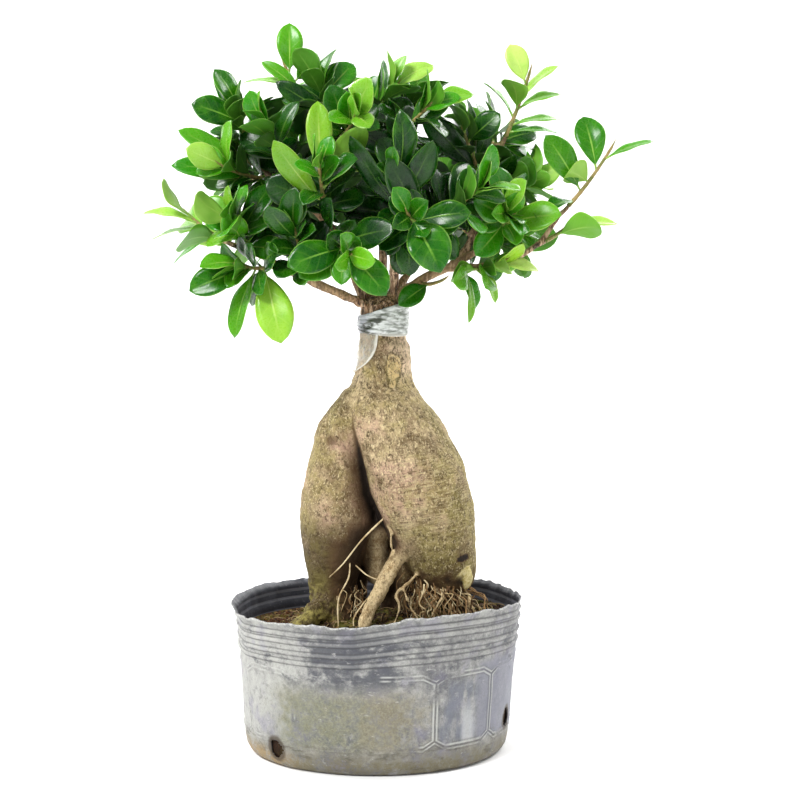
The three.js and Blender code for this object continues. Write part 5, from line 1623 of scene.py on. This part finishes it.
def leaf_template():
    """A flat leaf as a closed slab one unit long, one wide and one thick, to be bent into each leaf."""
    shape = bmesh.new()
    bmesh.ops.create_grid(shape, x_segments=LEAF_ACROSS, y_segments=LEAF_ALONG, size=0.5)
    top = bmesh.ops.extrude_face_region(shape, geom=shape.faces[:])["geom"]
    bmesh.ops.translate(shape, vec=(0, 0, 1), verts=points_of(top))
    bmesh.ops.recalc_face_normals(shape, faces=shape.faces)
    point_values(shape, *BLADE_LAYERS)
    return mesh_of(shape, "leaf_template")


def blade_share(place):
    """Half width of the blade as a share of its widest, from the stalk at 0 to the tip at 1."""
    widest = BLADE_RISE / (BLADE_RISE + BLADE_FALL)
    share = place ** BLADE_RISE * (1 - place) ** BLADE_FALL
    return share / (widest ** BLADE_RISE * (1 - widest) ** BLADE_FALL)


def bend_blade(verts, leaf, layers, looks):
    """Bends a flat leaf into its place: stalk, arched blade, cupped along its midrib, waved at its edge."""
    young, shade, curl, wave, twist, cup = looks
    half = leaf["width"] / 2
    length = leaf["length"]
    for vert in verts:
        across, place, level = 2 * vert.co.x, vert.co.y + 0.5, vert.co.z
        on_blade = max(0, (place - PETIOLE) / (1 - PETIOLE))
        reach = half * blade_share(on_blade) if 0 < on_blade < 1 else 0
        stalk = PETIOLE_RADIUS * (1 - smooth_step(0.0, 0.25, on_blade))
        side = across * max(reach, stalk)
        arch = LEAF_ARCH * length * 4 * place * (1 - place)
        bend = curl * length * on_blade ** 2
        hollow = cup * abs(side) * (1 - 0.3 * abs(across)) * smooth_step(0, 0.2, on_blade)
        ripple = EDGE_WAVE * reach * math.sin(wave + on_blade * EDGE_WAVES)
        ripple *= across ** 2 * math.copysign(1, across)
        lean = twist * side * on_blade
        full = smooth_step(0, 0.6, max(reach, stalk))  # 0 at the tip, where the blade comes to one edge
        rib = BLADE_RIB * (1 - smooth_step(0.0, 0.25, abs(across))) * smooth_step(0, 0.1, on_blade) * full
        thick = BLADE_THICKNESS * (1 - 0.55 * across ** 2 * full)
        thick += 2 * stalk * math.sqrt(max(0, 1 - 0.9 * across ** 2)) * (1 - on_blade)
        offset = (level - 0.5) * thick - (rib * 0.55 if level < 0.5 else rib * 0.35)
        vert[layers["along"]] = on_blade if place > PETIOLE else -0.2
        vert[layers["across"]] = across
        vert[layers["under"]] = 1 - level
        vert[layers["young"]] = young
        vert[layers["shade"]] = shade
        vert.co = Vector(leaf["base"] + leaf["along"] * (length * place) + leaf["across"] * side
                         + leaf["normal"] * (arch - bend + hollow + ripple + lean + offset))


def leaf_finish():
    leaf = Finish("fig_leaf")
    along, across = leaf.attribute("along"), abs(leaf.attribute("across"))
    under, young, shade = leaf.attribute("under"), leaf.attribute("young"), leaf.attribute("shade")
    cloud = leaf.grain(11, detail=2)
    fine = leaf.grain(1.1, detail=2, shift=5)
    lit = shade.most(0)
    old = leaf.mix(lit, (2, 60, 0), (30, 122, 0))
    middle = leaf.mix(lit, (50, 138, 4), (126, 186, 34))
    fresh = leaf.mix(lit, (150, 196, 52), (204, 228, 124))
    leaf.colour = leaf.mix(young.between(0, 0.5), old, middle)
    leaf.lay(young.between(0.45, 1), fresh)
    leaf.lay((cloud.between(0.4, 0.7)) * 0.3, (84, 156, 22))
    veins = along * 34 - across * 9
    ribs = veins.maths("SINE", veins).between(0.8, 1) * 0.08
    midrib = across.between(0.08, 0.02) * along.between(0.98, 0.3)
    edge = across.between(0.92, 0.99)
    pale = leaf.mix(young, (136, 190, 72), (208, 226, 124))
    leaf.lay(ribs * (1 - under * 0.3), pale)
    leaf.lay((midrib * 0.7).most(edge * 0.6), pale)
    below = leaf.mix(0.5, leaf.colour, (98, 152, 46))
    leaf.lay(under, below)
    # Painted shade deep in the crown
    leaf.lay(shade.between(0, -0.8) * 0.75, (0, 40, 0))
    stalk = along.between(0.02, -0.02)
    leaf.lay(stalk, (146, 178, 84))
    relief = ribs * 2.5 + midrib * 0.6 + fine * 0.12
    return leaf.coat(Base_Color=leaf.colour, Roughness=0.24 + under * 0.25 + fine * 0.08,
                     Subsurface_Weight=0.12, Subsurface_Radius=(0.4, 1.0, 0.12), Subsurface_Scale=0.0012,
                     Specular_IOR_Level=0.36, Normal=leaf.bump(relief, 0.14))


def twig_finish():
    twig = Finish("green_twig")
    twig.colour = twig.mix(twig.grain(5, detail=3).between(0.35, 0.65), (112, 116, 52), (158, 134, 80))
    twig.lay(twig.grain(0.8, detail=2).between(0.6, 0.7) * 0.6, (206, 190, 140))
    return twig.coat(Base_Color=twig.colour, Roughness=0.6, Normal=twig.bump(twig.grain(1.0, detail=2), 0.2))


flat_leaf = leaf_template()
leaf_material, twig_material = leaf_finish(), twig_finish()
looks_draw = seeded_draws(59)
stem_mesh = bpy.data.meshes.new("stem")
for shoot in shoots:
    name = shoot["name"]
    path = []
    foot, bend, tip = shoot["twig"]
    for share in shares(TWIG_STEPS):
        place = bent_point(shoot["twig"], share)
        if share == 0:
            place = place - (bend - foot) * 0.01
        radius = blend(TWIG_RADIUS, TWIG_TIP_RADIUS, share)
        path.append((place, radius * (1 + 0.12 * max(0, math.cos(share * 44)))))
    bud = []
    for share in BUD_RINGS:
        place = tip + unit(tip - bend) * BUD_LENGTH * share + np.array([0, 0, 1.2 * share ** 2])
        radius = TWIG_TIP_RADIUS * 1.25 * (1 - share) ** 0.8 * min(1, 0.7 + 2 * share)
        bud.append((place, max(0.12, radius)))
    stem = tubes([path, bud], TWIG_SIDES)
    point_values(stem, *BLADE_LAYERS)
    for face in stem.faces:
        face.material_index = 1
    stem.to_mesh(stem_mesh)
    stem.free()
    spray = repeated(flat_leaf, len(shoot["leaves"]))
    layers = {key: spray.verts.layers.float[key] for key in BLADE_LAYERS}
    base_young = YOUNG_SHOOTS.get(name, YOUNGEST_BY_CHANCE * looks_draw() ** 1.4)
    for i, leaf in enumerate(shoot["leaves"]):
        at_tip = np.linalg.norm(leaf["base"] - foot) / np.linalg.norm(tip - foot)
        deep = depth_in_crown(leaf["base"] + leaf["along"] * leaf["length"] / 2)
        young = base_young + (0.12 + 1.1 * base_young) * at_tip ** 2 + 0.4 * (looks_draw() - 0.4)
        young *= 1 - 0.7 * deep
        young = YOUNG_LEAVES.get(name, {}).get(i, min(max(young, 0), 1))
        # Painted shade on leaves deep inside the crown
        shade = looks_draw() * (0.4 + 0.6 * young) - deep
        curl, wave = blend(*BLADE_CURL, looks_draw()), 6.3 * looks_draw()
        twist, cup = 0.5 * (looks_draw() - 0.5), blend(*BLADE_CUP, looks_draw() ** 2)
        looks = (young, shade, curl, wave, twist, cup)
        corners = len(flat_leaf.vertices)
        bend_blade(spray.verts[i * corners:(i + 1) * corners], leaf, layers, looks)
    spray.from_mesh(stem_mesh)
    bmesh.ops.remove_doubles(spray, verts=spray.verts, dist=0.0002)
    piece_from(spray, f"{name}_spray", "leaf", [f"shoot_{name}"], leaf_material, twig_material)

# Studio
# A pale sweep that rises behind the plant, one wide soft light from the upper left, a fill and a back light,
# and the camera where the photograph was taken from.
SWEEP_FRONT = -2400
SWEEP_BACK = 2600
SWEEP_CURVE = 900
SWEEP_HEIGHT = 3200
SWEEP_HALF = 3600
SWEEP_FLOOR = -0.2
sweep = bmesh.new()
sweep_line = [(SWEEP_FRONT, SWEEP_FLOOR), (SWEEP_BACK - SWEEP_CURVE, SWEEP_FLOOR)]
for turn in range(6, 91, 6):
    back = SWEEP_BACK - SWEEP_CURVE + SWEEP_CURVE * math.sin(math.radians(turn))
    sweep_line.append((back, SWEEP_FLOOR + SWEEP_CURVE * (1 - math.cos(math.radians(turn)))))
sweep_line.append((SWEEP_BACK, SWEEP_HEIGHT))
bend = [sweep.verts.new((-SWEEP_HALF, y, z)) for y, z in sweep_line]
edges = [sweep.edges.new(pair) for pair in zip(bend, bend[1:])]
across = bmesh.ops.extrude_edge_only(sweep, edges=edges)["geom"]
bmesh.ops.translate(sweep, vec=(2 * SWEEP_HALF, 0, 0), verts=points_of(across))
bmesh.ops.recalc_face_normals(sweep, faces=sweep.faces)
paper = Finish("pale_paper")
paper.coat(Base_Color=(0.93, 0.93, 0.93, 1), Roughness=0.9, Specular_IOR_Level=0.1)
backdrop = placed(sweep, "studio_sweep", [paper.material])

WORLD_STRENGTH = 0.45
world = bpy.data.worlds.new("studio_world")
bpy.context.scene.world = world
world.use_nodes = True
background = world.node_tree.nodes["Background"]
background.inputs["Color"].default_value = (1, 1, 1, 1)
background.inputs["Strength"].default_value = WORLD_STRENGTH

# Each softbox: its place, the point it faces, its width and height, all in metres, and its watts
SOFTBOXES = {
    "key_light": ((-0.8, -1.1, 1.45), (0, 0, 0.22), (0.6, 0.5), 34),
    "fill_light": ((1.6, -1.3, 0.6), (0, 0, 0.25), (1.2, 1.2), 6),
    "back_light": ((0.7, 1.1, 1.3), (0, 0, 0.3), (0.8, 0.5), 12),
    "backdrop_light_left": ((-1.9, 0.9, 1.9), (-0.3, 2.5, 0.5), (1.2, 0.9), 60),
    "backdrop_light_right": ((1.9, 0.9, 1.9), (0.3, 2.5, 0.5), (1.2, 0.9), 60),
}
for name, (place, aim, size, power) in SOFTBOXES.items():
    light = bpy.data.lights.new(name, "AREA")
    light.shape = "RECTANGLE"
    light.size, light.size_y = size
    light.energy = power
    lamp = bpy.data.objects.new(name, light)
    lamp.visible_camera = False
    lamp.location = place
    lamp.rotation_euler = (Vector(aim) - Vector(place)).to_track_quat("-Z", "Y").to_euler()
    bpy.context.scene.collection.objects.link(lamp)

CAMERA_PLACE = (14.4, -1170, 291.7)
CAMERA_PITCH = 4.0
CAMERA_FOCUS = 1950  # focal length in pixels
PICTURE_WIDTH = 800
SENSOR_WIDTH = 36
lens = bpy.data.cameras.new("camera")
lens.sensor_width = SENSOR_WIDTH
lens.lens = CAMERA_FOCUS / PICTURE_WIDTH * SENSOR_WIDTH
lens.clip_start, lens.clip_end = 0.05, 30
camera = bpy.data.objects.new("camera", lens)
camera.location = Vector(CAMERA_PLACE) / 1000
camera.rotation_euler = (math.radians(90 - CAMERA_PITCH), 0, 0)
bpy.context.scene.collection.objects.link(camera)
bpy.context.scene.camera = camera
bpy.context.scene.view_settings.view_transform = "Standard"
